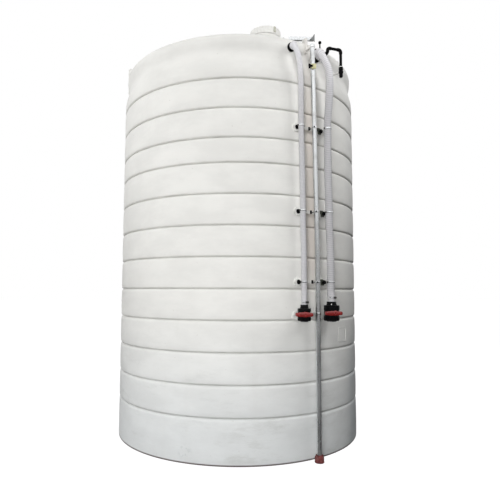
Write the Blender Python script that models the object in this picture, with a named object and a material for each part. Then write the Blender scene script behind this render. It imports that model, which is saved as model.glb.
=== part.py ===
"""Vertical polyethylene storage tank with a hinged manway, two fill hoses and a steel post.

Metres, +Z up. The origin is on the tank's axis at the underside of its floor, and the side that
carries the hoses faces -Y. An azimuth is measured in degrees from -Y towards +X.
"""
from math import acos, atan, atan2, cos, degrees, pi, radians, sin, tan

import bmesh
import bpy
from mathutils import Matrix, Vector

# the shell
TANK_RADIUS = 1.275
FLOOR_THICKNESS = 0.020
SHELL_THICKNESS = 0.012
INNER_RADIUS = 1.243
FOOT_ROUND = 0.018
BAND_RUNS = ((0.395, 1), (0.2765, 4), (0.280, 4), (0.229, 1), (0.2725, 2))
GROOVE_DEPTH = 0.019
GROOVE_LIP = 0.024
GROOVE_STEP = 0.010
TAPER_START = 3.468
WAIST_RADIUS = 1.237
WAIST_HEIGHT = 3.659
RIM_RADIUS = 1.255
RIM_START = 3.761
WALL_TOP = 3.782
UPPER_INNER_RADIUS = 1.225

# the roof: an elliptical shoulder, a cone and a flat crown with a round edge
SHOULDER_REACH = 0.561
SHOULDER_RISE = 0.135
SHOULDER_ANGLE = radians(27)
CROWN_RADIUS = 0.800
CROWN_FLAT = 0.560

# how the round shell is cut into pieces
FACETS = 60
WALL_PIECES = 10
ROOF_PIECES = 5
GAP = 0.0003

# the manway
MANWAY = Vector((0.294, -0.300))
NECK_RADIUS = 0.150
NECK_BORE = 0.138
NECK_FOOT = 0.186
NECK_FLANGE = 0.012
NECK_TOP = 4.326
NECK_RIDGE = 4.160
RIDGE_HEIGHT = 0.005
LID_RADIUS = 0.170
LID_SKIRT = 0.0055
LID_BOTTOM = 4.262
LID_CLEARANCE = 0.005
LID_THICKNESS = 0.010
LID_EDGE = 0.006
LID_CROWN = 0.004
HINGE_BRACKET = (-0.050, -0.022)
EAR_BOTTOM = -0.030
PIN_OVERHANG = 0.004
TAB_HEIGHT = 0.014
HINGE_REACH = 0.197
HINGE_PIN = 0.005
KNUCKLE_RADIUS = 0.011
KNUCKLE_WIDTH = 0.040
EAR_CLEARANCE = 0.006
EAR_WIDTH = 0.008

# moulded lugs on the shoulder
LUG_AZIMUTHS = (-85.0, 95.0, 155.0)
LUG_WIDTH = 0.058
LUG_DEPTH = 0.064
LUG_TOP = 4.012
LUG_BOTTOM = 3.700
LUG_OVERHANG = 0.012
LUG_TAPER = 0.7

# the two hose lines: the radius of the hose and of its run down the wall, and the (azimuth, height)
# points of that run, which lean towards the left above the lowest bracket; each bracket's height lies
# between two points with the same azimuth
LEFT_HOSE = 0.0255
LEFT_REACH = 1.339
LEFT_RUN = ((25.0, 3.200), (25.0, 3.030), (25.0, 2.910), (25.3, 2.620), (25.5, 2.270), (25.5, 2.120),
            (25.75, 1.870), (25.75, 1.640), (25.75, 1.530), (25.75, 1.470))
LEFT_BENDS = ((23.1, 1.340, 3.670), (23.8, 1.356, 3.590), (24.2, 1.358, 3.510), (24.6, 1.352, 3.420),
              (24.9, 1.344, 3.310))
RIGHT_HOSE = 0.0350
RIGHT_REACH = 1.341
RIGHT_RUN = ((38.5, 3.050), (38.5, 2.900), (38.4, 2.780), (38.5, 2.500), (38.8, 2.270), (38.8, 2.120),
             (39.3, 1.870), (39.3, 1.640), (39.3, 1.530), (39.3, 1.470))
RIGHT_BENDS = ((36.6, 1.365, 3.625), (37.4, 1.385, 3.540), (38.0, 1.385, 3.450), (38.4, 1.373, 3.350),
               (38.7, 1.356, 3.220))
BEND_LENGTHS = 5

# the bulkhead fittings: azimuth, height and flange radius; the tilt is that of the wall there
LEFT_INLET = (22.7, 3.737, 0.044)
RIGHT_INLET = (36.7, 3.727, 0.062)
INLET_TILT = 8.0
INLET_SET = 0.003
INLET_DEPTH = 0.030
INLET_FLANGE = 0.010
INLET_NUT = 0.026
INLET_SPIGOT = 0.034
SPIGOT_WALL = 0.004

# the post: plumb up to the bend, then leaning towards the left
POST_AZIMUTH = 31.8
POST_REACH = 1.351
POST_RADIUS = 0.0212
POST_TOP_AZIMUTH = 30.2
POST_BEND = 1.750
POST_TOP = 3.800
POST_BOTTOM = 0.012
CAP_RADIUS = 0.0415
CAP_HEIGHT = 0.080

# the clip on the post, with its yellow plate and its lever
CLIP_HEIGHT = 3.545
CLIP_WIDTH = 0.034
CLIP_WALL = 0.008
CLIP_PLATE = ((-0.012, -0.024, 0.024), (0.040, 0.022, 0.032))
CLIP_LEVER = ((-0.044, -0.020, 0.020), (-0.010, 0.020, 0.038))

# the brackets
BRACKET_HEIGHTS = (1.562, 2.196, 2.972)
BAR_REACH = 1.289
BAR_THICKNESS = 0.006
BAR_HEIGHT = 0.030
BAR_AZIMUTHS = (22.6, 41.2)
LEFT_PADS = (24.6, 24.5, 24.0)
RIGHT_PADS = (37.0, 36.2, 35.4)
PAD_RADIUS = 0.039
PAD_DEPTH = 0.030
KNOB_RADIUS = 0.017
KNOB_HEIGHT = 0.012
CONE = ((0.0, 0.002), (0.029, 0.002), (0.012, 0.036), (0.0, 0.036))
BAND_THICKNESS = 0.0025
BAND_HEIGHT = 0.012
ARM_WIDTH = 0.016
COLLAR_HEIGHT = 0.020
SPACER_RADIUS = 0.008
BOLT_RADIUS = 0.006
BOLT_LENGTH = 0.009
BITE = 0.003

# the stay on the shoulder: (azimuth, radius, height) of the bar's ends, its section and its gusset
STAY_ENDS = ((22.5, 1.205, 3.850), (33.0, 1.225, 3.896))
STAY_SECTION = (-0.012, 0.012, -0.018, 0.018)
GUSSET_PLACE = (33.6, 1.222, 3.870)
GUSSET = ((-0.022, 0.0, -0.003), (0.018, 0.078, 0.003))
GUSSET_TAPER = 0.25
STRUT_REACH = 1.262
STRUT = ((-0.012, -0.065, -0.045), (0.012, 0.092, 0.012))
TONGUE_HEIGHT = 0.010

# the valves
LEFT_VALVE = {"height": 1.279, "azimuth": 25.6, "reach": 1.345, "nut": 0.056, "half": 0.075, "facing": 0.0}
RIGHT_VALVE = {"height": 1.285, "azimuth": 38.8, "reach": 1.357, "nut": 0.068, "half": 0.092, "facing": 12.0}
VALVE_PADS = (23.7, 35.9)
VALVE_PAD_DEPTH = 0.020
VALVE_BAR_REACH = 1.2803
SOCKET_DEPTH = 0.040
NUT_EDGE = 0.024
BOSS_RADIUS = 0.018
HANDLE_LENGTH = 0.154
HANDLE_HEIGHT = 0.042
HANDLE_THICKNESS = 0.016
HANDLE_CLEARANCE = 0.006
HANDLE_HUB = 0.024
TIP_LENGTH = 0.040
STEM_RADIUS = 0.007

# the overflow pipe and the small vent on the shoulder
OVERFLOW_AZIMUTH = 41.0
OVERFLOW_OUTLET = 3.768
OVERFLOW_RUN = 3.818
OVERFLOW_DROP = Vector((0.982, -0.944))
OVERFLOW_RADIUS = 0.015
OVERFLOW_BEND = 0.024
OVERFLOW_STUB = 0.016
OVERFLOW_ELBOW = 0.050
SLEEVE_RADIUS = 0.021
SLEEVE_SPAN = (3.547, 3.645)
CLIP_RISE = 0.050
VENT_AZIMUTH = 41.0
VENT_REACH = 1.211
VENT_TOP = 3.924
VENT = ((0.0, -0.110), (0.016, -0.110), (0.016, -0.062), (0.006, -0.056), (0.006, -0.030), (0.013, -0.024),
        (0.015, -0.014), (0.012, -0.004), (0.0, 0.0))


def clear_scene():
    """Removes every object of the open scene."""
    for thing in list(bpy.data.objects):
        bpy.data.objects.remove(thing, do_unlink=True)


def finish(name, colour, roughness, metallic=0.0):
    """A material of one colour, made once for each name."""
    material = bpy.data.materials.get(name) or bpy.data.materials.new(name)
    material.use_nodes = True
    shader = material.node_tree.nodes["Principled BSDF"]
    shader.inputs["Base Color"].default_value = (*colour, 1.0)
    shader.inputs["Roughness"].default_value = roughness
    shader.inputs["Metallic"].default_value = metallic
    return material


def white_plastic():
    return finish("white_polyethylene", (0.80, 0.80, 0.76), 0.45)


def black_plastic():
    return finish("black_upvc", (0.02, 0.02, 0.022), 0.35)


def red_plastic():
    return finish("red_handle_plastic", (0.62, 0.05, 0.04), 0.35)


def hose_plastic():
    return finish("clear_hose_pvc", (0.68, 0.67, 0.71), 0.25)


def steel():
    return finish("bright_steel", (0.62, 0.65, 0.66), 0.30, 1.0)


def oxide_red():
    return finish("oxide_red_cap", (0.35, 0.09, 0.06), 0.55)


def yellow_plastic():
    return finish("yellow_clip_plastic", (0.60, 0.56, 0.20), 0.40)


def around(azimuth, radius, height):
    """The point at an azimuth, a distance from the axis and a height."""
    angle = radians(azimuth)
    return Vector((radius * sin(angle), -radius * cos(angle), height))


def facing_out(azimuth, radius, height, tilt=0.0):
    """A frame on the wall: X along the wall, Y up and Z outwards, tipped down by the tilt."""
    angle = radians(azimuth)
    along = Vector((cos(angle), sin(angle), 0.0))
    out = Vector((sin(angle), -cos(angle), 0.0))
    turn = Matrix((along, (0.0, 0.0, 1.0), out)).transposed().to_4x4()
    place = Matrix.Translation(around(azimuth, radius, height))
    return place @ turn @ Matrix.Rotation(radians(tilt), 4, "X")


def upright(point):
    """A frame that only moves to a point."""
    return Matrix.Translation(Vector(point))


def add_object(name, bm, frame, material):
    """Makes an object of a bmesh, with its faces turned outwards."""
    bmesh.ops.recalc_face_normals(bm, faces=bm.faces)
    mesh = bpy.data.meshes.new(name)
    bm.to_mesh(mesh)
    bm.free()
    return dress(name, mesh, frame, material)


def dress(name, mesh, frame, material):
    """Puts a mesh in the scene with its place, its material and its smooth shading."""
    mesh.shade_smooth()
    mesh.set_sharp_from_angle(angle=radians(35))
    thing = bpy.data.objects.new(name, mesh)
    thing.matrix_world = frame
    thing.data.materials.clear()
    thing.data.materials.append(material)
    bpy.context.scene.collection.objects.link(thing)
    return thing


def turned(name, outline, frame, material, sides=24, closed=False):
    """A solid turned about Z from (radius, height) points, which end on the axis or close a ring."""
    bm = bmesh.new()
    verts = [bm.verts.new((radius, 0.0, height)) for radius, height in outline]
    follow = verts[1:] + verts[:1] if closed else verts[1:]
    edges = [bm.edges.new(pair) for pair in zip(verts, follow)]
    bmesh.ops.spin(bm, geom=verts + edges, axis=(0, 0, 1), cent=(0, 0, 0), angle=2 * pi,
                   steps=sides, use_merge=True)
    bmesh.ops.remove_doubles(bm, verts=bm.verts, dist=0.00001)
    return add_object(name, bm, frame, material)


def swept_arc(name, outline, first, last, steps, material):
    """A closed outline of (radius, height) points carried round the axis between two azimuths."""
    bm = bmesh.new()
    start = radians(first)
    verts = [bm.verts.new((r * sin(start), -r * cos(start), z)) for r, z in outline]
    face = bm.faces.new(verts)
    bmesh.ops.spin(bm, geom=[face, *face.edges, *verts], axis=(0, 0, 1), cent=(0, 0, 0),
                   angle=radians(last - first), steps=steps, use_merge=False)
    return add_object(name, bm, Matrix(), material)


def block(name, low, high, frame, material, taper=1.0):
    """A box between two corners, its top drawn in along X by the taper."""
    bm = bmesh.new()
    bmesh.ops.create_cube(bm, size=1.0)
    low, high = Vector(low), Vector(high)
    middle, size = (low + high) / 2, high - low
    for vert in bm.verts:
        narrow = taper if vert.co.y > 0 else 1.0
        vert.co = Vector((vert.co.x * size.x * narrow, vert.co.y * size.y, vert.co.z * size.z)) + middle
    return add_object(name, bm, frame, material)


def rod(name, radius, low, high, frame, material, sides=16):
    """A plain round bar along Z."""
    return turned(name, [(0.0, low), (radius, low), (radius, high), (0.0, high)], frame, material, sides)


def clear(bore, sides):
    """The corner radius of a many-sided bore whose flats lie on the round bore."""
    return bore / cos(pi / sides)


def ring(name, bore, radius, low, high, frame, material, sides=24):
    """A plain ring about Z, with its bore clear of a round bar of that radius."""
    bore = clear(bore, sides)
    outline = [(bore, low), (radius, low), (radius, high), (bore, high)]
    return turned(name, outline, frame, material, sides, closed=True)


def combine(thing, others, operation):
    """Joins other solids to one, or cuts them out of it, and keeps the result."""
    for other in others:
        change = thing.modifiers.new(operation.lower(), "BOOLEAN")
        change.operation = operation
        change.solver = "EXACT"
        change.object = other
        bpy.context.view_layer.update()
        made = thing.evaluated_get(bpy.context.evaluated_depsgraph_get())
        mesh = bpy.data.meshes.new_from_object(made)
        thing.modifiers.clear()
        thing.data = mesh
    return thing


def fuse(thing, others):
    """One solid from several that run into each other."""
    combine(thing, others, "UNION")
    for other in others:
        bpy.data.objects.remove(other, do_unlink=True)
    thing.data.shade_smooth()
    thing.data.set_sharp_from_angle(angle=radians(35))
    return thing


def seat(thing, cutter):
    """Trims a solid so that its back follows the shell."""
    combine(thing, [cutter], "DIFFERENCE")
    thing.data.shade_smooth()
    thing.data.set_sharp_from_angle(angle=radians(35))
    return thing


def smooth_route(knots, spacing):
    """Points along a smooth curve through the knots, about one spacing apart (Catmull-Rom)."""
    knots = [Vector(knot) for knot in knots]
    padded = [2 * knots[0] - knots[1], *knots, 2 * knots[-1] - knots[-2]]
    points = [knots[0]]
    for a, b, c, d in zip(padded, padded[1:], padded[2:], padded[3:]):
        count = max(1, round((c - b).length / spacing))
        for step in range(1, count + 1):
            t = step / count
            point = 2 * b + (c - a) * t + (2 * a - 5 * b + 4 * c - d) * t ** 2
            points.append(0.5 * (point + (3 * b - a - 3 * c + d) * t ** 3))
    return points


def rounded_route(corners, bend, steps=4):
    """Straight runs through the corners, with an arc of the bend radius at each inner corner."""
    points = [Vector(corners[0])]
    for before, corner, after in zip(corners, corners[1:], corners[2:]):
        into = (Vector(corner) - Vector(before)).normalized()
        away = (Vector(after) - Vector(corner)).normalized()
        turn = acos(max(-1.0, min(1.0, into.dot(away))))
        start = Vector(corner) - into * bend * tan(turn / 2)
        side = (away - into * into.dot(away)).normalized()
        for step in range(steps + 1):
            angle = turn * step / steps
            points.append(start + into * bend * sin(angle) + side * bend * (1 - cos(angle)))
    points.append(Vector(corners[-1]))
    return points


def tube(name, points, radius, material, resolution=4):
    """A round solid along the points, with closed ends."""
    curve = bpy.data.curves.new(name, "CURVE")
    curve.dimensions = "3D"
    curve.bevel_depth = radius
    curve.bevel_resolution = resolution
    curve.use_fill_caps = True
    spline = curve.splines.new("POLY")
    spline.points.add(len(points) - 1)
    for slot, point in zip(spline.points, points):
        slot.co = (*point, 1.0)
    curve.materials.append(material)
    thing = bpy.data.objects.new(name, curve)
    bpy.context.scene.collection.objects.link(thing)
    return thing


def groove_heights():
    """The height of each groove, from the floor up."""
    heights, height = [], 0.0
    for band, count in BAND_RUNS:
        for _ in range(count):
            height += band
            heights.append(height)
    return heights


def wall_outline():
    """The wall's outer edge from the floor to the roof, as (radius, height) points."""
    points = [(TANK_RADIUS - FOOT_ROUND, 0.0),
              (TANK_RADIUS - 0.3 * FOOT_ROUND, 0.3 * FOOT_ROUND), (TANK_RADIUS, FOOT_ROUND)]
    for height in groove_heights():
        points.append((TANK_RADIUS, height - GROOVE_LIP))
        points.append((TANK_RADIUS - GROOVE_DEPTH, height))
        points.append((TANK_RADIUS, height + GROOVE_STEP))
    points += [(TANK_RADIUS, TAPER_START), (WAIST_RADIUS, WAIST_HEIGHT)]
    points += [(RIM_RADIUS, RIM_START), (RIM_RADIUS, WALL_TOP)]
    return points


def shoulder_outline(steps=4):
    """The elliptical shoulder's points, from the wall inwards."""
    centre = RIM_RADIUS - SHOULDER_REACH
    angles = [SHOULDER_ANGLE * step / steps for step in range(steps + 1)]
    return [(centre + SHOULDER_REACH * cos(a), WALL_TOP + SHOULDER_RISE * sin(a)) for a in angles]


def cone_slope():
    """The cone's slope, which carries on from the end of the shoulder."""
    return SHOULDER_RISE / (SHOULDER_REACH * tan(SHOULDER_ANGLE))


def crown_outline(steps=2):
    """The crown's outer edge, from the end of the cone to the flat: a round bend."""
    slope = cone_slope()
    radius, height = shoulder_outline()[-1]
    height += (radius - CROWN_RADIUS) * slope
    tip = atan(slope)
    bend = (CROWN_RADIUS - CROWN_FLAT) / sin(tip)
    points = []
    for step in range(steps + 1):
        angle = tip * (1 - step / steps)
        points.append((CROWN_FLAT + bend * sin(angle), height + bend * (cos(angle) - cos(tip))))
    return points


def crown_top():
    """The height of the crown's flat."""
    return crown_outline()[-1][1]


def inset(points):
    """The inner edge that lies one shell thickness below the roof's points, outwards again."""
    tip = atan(cone_slope())
    return [(r - SHELL_THICKNESS * sin(tip), z - SHELL_THICKNESS * cos(tip)) for r, z in reversed(points)]


def shell_cutter():
    """The whole outside of the shell, larger by one gap: it trims what sits on the shell."""
    wall = [(radius + GAP, height) for radius, height in wall_outline()]
    roof = [(radius + GAP, height + GAP) for radius, height in shoulder_outline()[1:] + crown_outline()]
    outline = [(0.0, -GAP), (wall[0][0], -GAP), *wall, *roof, (0.0, crown_top() + GAP)]
    cutter = turned("shell_cutter", outline, Matrix(), white_plastic(), FACETS)
    cutter.hide_render = True
    cutter.display_type = "WIRE"
    return cutter


def build_floor():
    """The tank's floor, a disc inside the foot of the wall."""
    radius = INNER_RADIUS - GAP
    rod("tank_floor", radius, 0.0, FLOOR_THICKNESS, Matrix(), white_plastic(), FACETS)


def build_wall():
    """The grooved wall, as equal arcs that stand round the floor."""
    inner = [(UPPER_INNER_RADIUS, WALL_TOP), (UPPER_INNER_RADIUS, WAIST_HEIGHT - GROOVE_LIP),
             (INNER_RADIUS, TAPER_START), (INNER_RADIUS, 0.0)]
    share = 360.0 / WALL_PIECES
    seam = GAP / TANK_RADIUS * 90.0 / pi
    for index in range(WALL_PIECES):
        first = 90.0 + index * share
        swept_arc(f"wall_segment_{index + 1:02d}", wall_outline() + inner, first + seam,
                  first + share - seam, FACETS // WALL_PIECES, white_plastic())


def build_roof():
    """The shoulder and cone, as equal arcs that rest on the wall."""
    outer = shoulder_outline() + crown_outline()[:1]
    edge = [(outer[0][0], outer[0][1] + GAP), *outer[1:-1], (outer[-1][0] + GAP, outer[-1][1])]
    inner = inset(outer[1:-1])
    foot = (RIM_RADIUS - 2 * SHELL_THICKNESS, WALL_TOP + GAP)
    lip = (CROWN_RADIUS + GAP, outer[-1][1] - SHELL_THICKNESS)
    share = 360.0 / ROOF_PIECES
    seam = GAP / RIM_RADIUS * 90.0 / pi
    for index in range(ROOF_PIECES):
        first = 90.0 + index * share
        swept_arc(f"roof_segment_{index + 1}", [*edge, lip, *inner, foot], first + seam,
                  first + share - seam, FACETS // ROOF_PIECES, white_plastic())


def build_crown():
    """The middle of the roof, with the manway's hole."""
    outer = crown_outline()
    outer[0] = (CROWN_RADIUS - GAP, outer[0][1])
    low = [(radius, height - SHELL_THICKNESS) for radius, height in outer]
    outline = [(0.0, low[-1][1]), *reversed(low), *outer, (0.0, outer[-1][1])]
    crown = turned("roof_crown", outline, Matrix(), white_plastic(), FACETS)
    hole = rod("manway_hole", NECK_BORE, low[-1][1] - 0.1, crown_top() + 0.1,
               upright((*MANWAY, 0.0)), white_plastic(), 32)
    combine(crown, [hole], "DIFFERENCE")
    bpy.data.objects.remove(hole, do_unlink=True)


def build_manway_neck():
    """The neck: a foot ring on the crown, a raised ridge and a rim."""
    low = crown_top() + GAP
    ridge = [(NECK_RADIUS, NECK_RIDGE), (NECK_RADIUS + RIDGE_HEIGHT, NECK_RIDGE + RIDGE_HEIGHT),
             (NECK_RADIUS, NECK_RIDGE + 2 * RIDGE_HEIGHT)]
    outline = [(NECK_BORE, low), (NECK_FOOT, low), (NECK_FOOT, low + NECK_FLANGE),
               (NECK_RADIUS, low + NECK_FLANGE), *ridge, (NECK_RADIUS, NECK_TOP), (NECK_BORE, NECK_TOP)]
    turned("manway_neck", outline, upright((*MANWAY, 0.0)), white_plastic(), 32, closed=True)


def hinge_point():
    """The middle of the lid's hinge pin, level with the bottom of the skirt."""
    return Vector((MANWAY.x + HINGE_REACH, MANWAY.y, LID_BOTTOM))


def hinge_frame():
    """A frame on the hinge pin whose Z runs along the pin."""
    return Matrix.Translation(hinge_point()) @ Matrix.Rotation(pi / 2, 4, "X")


def build_manway_hinge():
    """The bracket on the neck, with two ears and the pin between them."""
    half = KNUCKLE_WIDTH / 2 + EAR_CLEARANCE
    wide = half + EAR_WIDTH
    reach = HINGE_REACH - NECK_RADIUS
    frame = upright(hinge_point())
    bracket = block("manway_hinge_bracket", (-reach - EAR_WIDTH, -wide, HINGE_BRACKET[0]),
                    (KNUCKLE_RADIUS, wide, HINGE_BRACKET[1]), frame, steel())
    ears = [block("ear", (-KNUCKLE_RADIUS, min(side * half, side * wide), EAR_BOTTOM),
                  (KNUCKLE_RADIUS, max(side * half, side * wide), KNUCKLE_RADIUS), frame, steel())
            for side in (-1, 1)]
    end = wide + PIN_OVERHANG
    pin = rod("pin", HINGE_PIN, -end, end, hinge_frame(), steel(), 16)
    fuse(bracket, [*ears, pin])
    neck = rod("neck_cutter", NECK_RADIUS + GAP, 0.0, NECK_TOP + 0.1, upright((*MANWAY, 0.0)), steel(), 32)
    combine(bracket, [neck], "DIFFERENCE")
    bpy.data.objects.remove(neck, do_unlink=True)


def build_manway_lid():
    """The lid: a cap with a skirt and a raised middle, and the hinge knuckle at its side."""
    under = NECK_TOP + LID_CLEARANCE
    top = under + LID_THICKNESS
    inner = LID_RADIUS - LID_SKIRT
    outline = [(0.0, under), (inner, under), (inner, LID_BOTTOM), (LID_RADIUS, LID_BOTTOM),
               (LID_RADIUS, top - LID_EDGE), (LID_RADIUS - LID_EDGE, top), (0.72 * LID_RADIUS, top),
               (0.66 * LID_RADIUS, top + LID_CROWN), (0.0, top + LID_CROWN)]
    lid = turned("manway_lid", outline, upright((*MANWAY, 0.0)), white_plastic(), 32)
    knuckle = ring("knuckle", HINGE_PIN + GAP, KNUCKLE_RADIUS, -KNUCKLE_WIDTH / 2, KNUCKLE_WIDTH / 2,
                   hinge_frame(), white_plastic(), 16)
    width = KNUCKLE_WIDTH / 2
    tab = block("tab", (LID_RADIUS - HINGE_REACH - BITE, -width, 0.0),
                (-0.75 * KNUCKLE_RADIUS, width, TAB_HEIGHT), upright(hinge_point()), white_plastic())
    fuse(lid, [knuckle, tab])
    pivot = bpy.data.objects.new("manway_lid_pivot", None)
    pivot.location = hinge_point()
    bpy.context.scene.collection.objects.link(pivot)
    bpy.context.view_layer.update()
    lid.parent = pivot
    lid.matrix_parent_inverse = pivot.matrix_world.inverted()


def build_lugs(cutter):
    """The moulded lugs that stand on the rim of the roof."""
    for index, azimuth in enumerate(LUG_AZIMUTHS):
        frame = facing_out(azimuth, RIM_RADIUS, 0.0)
        lug = block(f"lifting_lug_{index + 1}", (-LUG_WIDTH / 2, LUG_BOTTOM, -LUG_DEPTH),
                    (LUG_WIDTH / 2, LUG_TOP, LUG_OVERHANG), frame, white_plastic(), LUG_TAPER)
        seat(lug, cutter)


def inlet_fitting(name, inlet, hose, cutter):
    """A black bulkhead fitting on the rim: a flange, a nut and the spigot that the hose meets."""
    azimuth, height, radius = inlet
    frame = facing_out(azimuth, RIM_RADIUS - INLET_SET, height, INLET_TILT)
    nut, spigot = 0.80 * radius, hose + SPIGOT_WALL
    outline = [(0.0, -INLET_DEPTH), (radius, -INLET_DEPTH), (radius, INLET_FLANGE),
               (nut, INLET_FLANGE + 0.25 * SPIGOT_WALL), (nut, INLET_NUT), (spigot, INLET_NUT),
               (spigot, INLET_SPIGOT), (0.0, INLET_SPIGOT)]
    seat(turned(name, outline, frame, black_plastic(), 32), cutter)
    return frame


def hose_start(frame, length):
    """The hose's first two points: on the end of the spigot, and one length straight out of it."""
    return [frame @ Vector((0.0, 0.0, INLET_SPIGOT + GAP + step)) for step in (0.0, length)]


def build_left_line(cutter):
    """The left inlet fitting and its hose, down to the left valve."""
    frame = inlet_fitting("left_inlet_fitting", LEFT_INLET, LEFT_HOSE, cutter)
    knots = hose_start(frame, 0.8 * LEFT_HOSE) + [around(*bend) for bend in LEFT_BENDS]
    knots += [around(azimuth, LEFT_REACH, height) for azimuth, height in LEFT_RUN]
    knots += [valve_axis(LEFT_VALVE, 0.110), valve_axis(LEFT_VALVE, LEFT_VALVE["half"] + GAP)]
    tube("left_hose", smooth_route(knots, BEND_LENGTHS * LEFT_HOSE), LEFT_HOSE, hose_plastic())


def build_right_line(cutter):
    """The right inlet fitting and its hose, down to the right valve."""
    frame = inlet_fitting("right_inlet_fitting", RIGHT_INLET, RIGHT_HOSE, cutter)
    knots = hose_start(frame, 0.8 * RIGHT_HOSE) + [around(*bend) for bend in RIGHT_BENDS]
    knots += [around(azimuth, RIGHT_REACH, height) for azimuth, height in RIGHT_RUN]
    knots += [valve_axis(RIGHT_VALVE, 0.130), valve_axis(RIGHT_VALVE, RIGHT_VALVE["half"] + GAP)]
    tube("right_hose", smooth_route(knots, BEND_LENGTHS * RIGHT_HOSE), RIGHT_HOSE, hose_plastic())


def valve_axis(valve, rise=0.0):
    """A point on a valve's upright axis, above its middle by the rise."""
    return around(valve["azimuth"], valve["reach"], valve["height"] + rise)


def valve_frame(valve):
    """A frame at a valve's middle whose Z points along its spindle."""
    turn = facing_out(valve["facing"], 0.0, 0.0).to_3x3().to_4x4()
    return Matrix.Translation(valve_axis(valve)) @ turn


def build_valve(name, valve, hose):
    """A double-union ball valve: two union nuts, the ball's housing, the stem and the foot."""
    nut, waist, half = valve["nut"], 0.80 * valve["nut"], valve["half"]
    neck, bore = hose + 2 * SPIGOT_WALL, hose - 0.75 * SPIGOT_WALL
    outline = [(0.0, SOCKET_DEPTH - half), (bore, SOCKET_DEPTH - half), (bore, 0.004 - half),
               (neck, 0.004 - half), (neck, 0.010 - half), (nut, 0.014 - half), (nut, -NUT_EDGE),
               (waist, -NUT_EDGE), (waist, NUT_EDGE), (nut, NUT_EDGE), (nut, half - 0.030),
               (neck, half - 0.020), (neck, half), (0.0, half)]
    body = turned(f"{name}_valve_body", outline, upright(valve_axis(valve)), black_plastic(), 20)
    face = nut + HANDLE_CLEARANCE
    boss = rod("boss", BOSS_RADIUS, 0.010, nut - 0.002, valve_frame(valve), black_plastic(), 12)
    stem = rod("stem", STEM_RADIUS, 0.013, face + 0.8 * HANDLE_THICKNESS, valve_frame(valve),
               black_plastic(), 12)
    back = facing_out(valve["azimuth"], valve["reach"], valve["height"])
    depth = valve["reach"] - VALVE_BAR_REACH - BAR_THICKNESS - GAP
    foot = block("foot", (-0.018, -0.013, -depth), (0.018, 0.013, -0.011), back, black_plastic())
    fuse(body, [boss, stem, foot])


def build_handle(name, valve):
    """The valve's red lever, closed and level, turning on the stem."""
    frame = valve_frame(valve)
    face = valve["nut"] + HANDLE_CLEARANCE
    half, high = HANDLE_LENGTH / 2, HANDLE_HEIGHT / 2
    hub = ring(f"{name}_valve_handle", STEM_RADIUS + GAP, HANDLE_HUB, face,
               face + HANDLE_THICKNESS + 0.006, frame, red_plastic(), 24)
    wings = [block("wing", (min(side * 0.014, side * half), -high * 0.55, face + 0.002),
                   (max(side * 0.014, side * half), high * 0.55, face + HANDLE_THICKNESS),
                   frame, red_plastic()) for side in (-1, 1)]
    root = half - TIP_LENGTH
    tips = [block("tip", (min(side * root, side * half), -high, face + 0.002),
                  (max(side * root, side * half), high, face + HANDLE_THICKNESS - 0.003),
                  frame, red_plastic()) for side in (-1, 1)]
    handle = fuse(hub, wings + tips)
    pivot = bpy.data.objects.new(f"{name}_valve_pivot", None)
    pivot.matrix_world = frame
    bpy.context.scene.collection.objects.link(pivot)
    bpy.context.view_layer.update()
    handle.parent = pivot
    handle.matrix_parent_inverse = pivot.matrix_world.inverted()


def post_axis(height):
    """A point on the post's axis."""
    if height <= POST_BEND:
        return around(POST_AZIMUTH, POST_REACH, height)
    bend = around(POST_AZIMUTH, POST_REACH, POST_BEND)
    top = around(POST_TOP_AZIMUTH, POST_REACH, POST_TOP)
    return bend.lerp(top, (height - POST_BEND) / (POST_TOP - POST_BEND))


def post_frame(height):
    """A frame on the post whose Z runs along it."""
    along = (post_axis(height + 0.001) - post_axis(height)).normalized()
    turn = Vector((0, 0, 1)).rotation_difference(along).to_matrix().to_4x4()
    return Matrix.Translation(post_axis(height)) @ turn


def post_azimuth(height):
    """The post's azimuth at a height, and its distance from the tank's axis."""
    point = post_axis(height)
    return degrees(atan2(point.x, -point.y)), point.xy.length


def post_collar(height, sides=16):
    """A thin collar round the post."""
    bore = POST_RADIUS + GAP
    return ring("collar", bore, bore + BAND_THICKNESS, -COLLAR_HEIGHT / 2, COLLAR_HEIGHT / 2,
                post_frame(height), steel(), sides)


def build_post():
    """The steel post, its foot cap and the clip near its top."""
    points = [post_axis(height) for height in (POST_BOTTOM + GAP, POST_BEND, POST_TOP)]
    tube("steel_post", points, POST_RADIUS, steel())
    bore = POST_RADIUS + GAP
    socket = clear(bore, 24)
    outline = [(0.0, 0.0), (CAP_RADIUS, 0.0), (CAP_RADIUS, 0.7 * CAP_HEIGHT),
               (0.8 * CAP_RADIUS, CAP_HEIGHT), (socket, CAP_HEIGHT), (socket, POST_BOTTOM),
               (0.0, POST_BOTTOM)]
    turned("post_foot_cap", outline, upright(post_axis(0.0)), oxide_red(), 24)
    clip = ring("post_clip", bore, bore + CLIP_WALL, -CLIP_WIDTH / 2, CLIP_WIDTH / 2,
                post_frame(CLIP_HEIGHT), yellow_plastic(), 20)
    front = Matrix.Translation(post_axis(CLIP_HEIGHT)) @ facing_out(0.0, 0.0, 0.0).to_3x3().to_4x4()
    fuse(clip, [block("plate", *CLIP_PLATE, front, yellow_plastic()),
                block("lever", *CLIP_LEVER, front, yellow_plastic())])


def curved_bar(name, reach, height, material):
    """A flat bar that follows the wall at one height, between the bracket's two ends."""
    low, high = height - BAR_HEIGHT / 2, height + BAR_HEIGHT / 2
    outline = [(reach, low), (reach + BAR_THICKNESS, low), (reach + BAR_THICKNESS, high), (reach, high)]
    return swept_arc(name, outline, *BAR_AZIMUTHS, 5, material)


def hose_azimuth(run, height):
    """The azimuth of a hose's run at the height of a bracket."""
    return next(low[0] for high, low in zip(run, run[1:]) if high[1] > height >= low[1])


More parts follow.
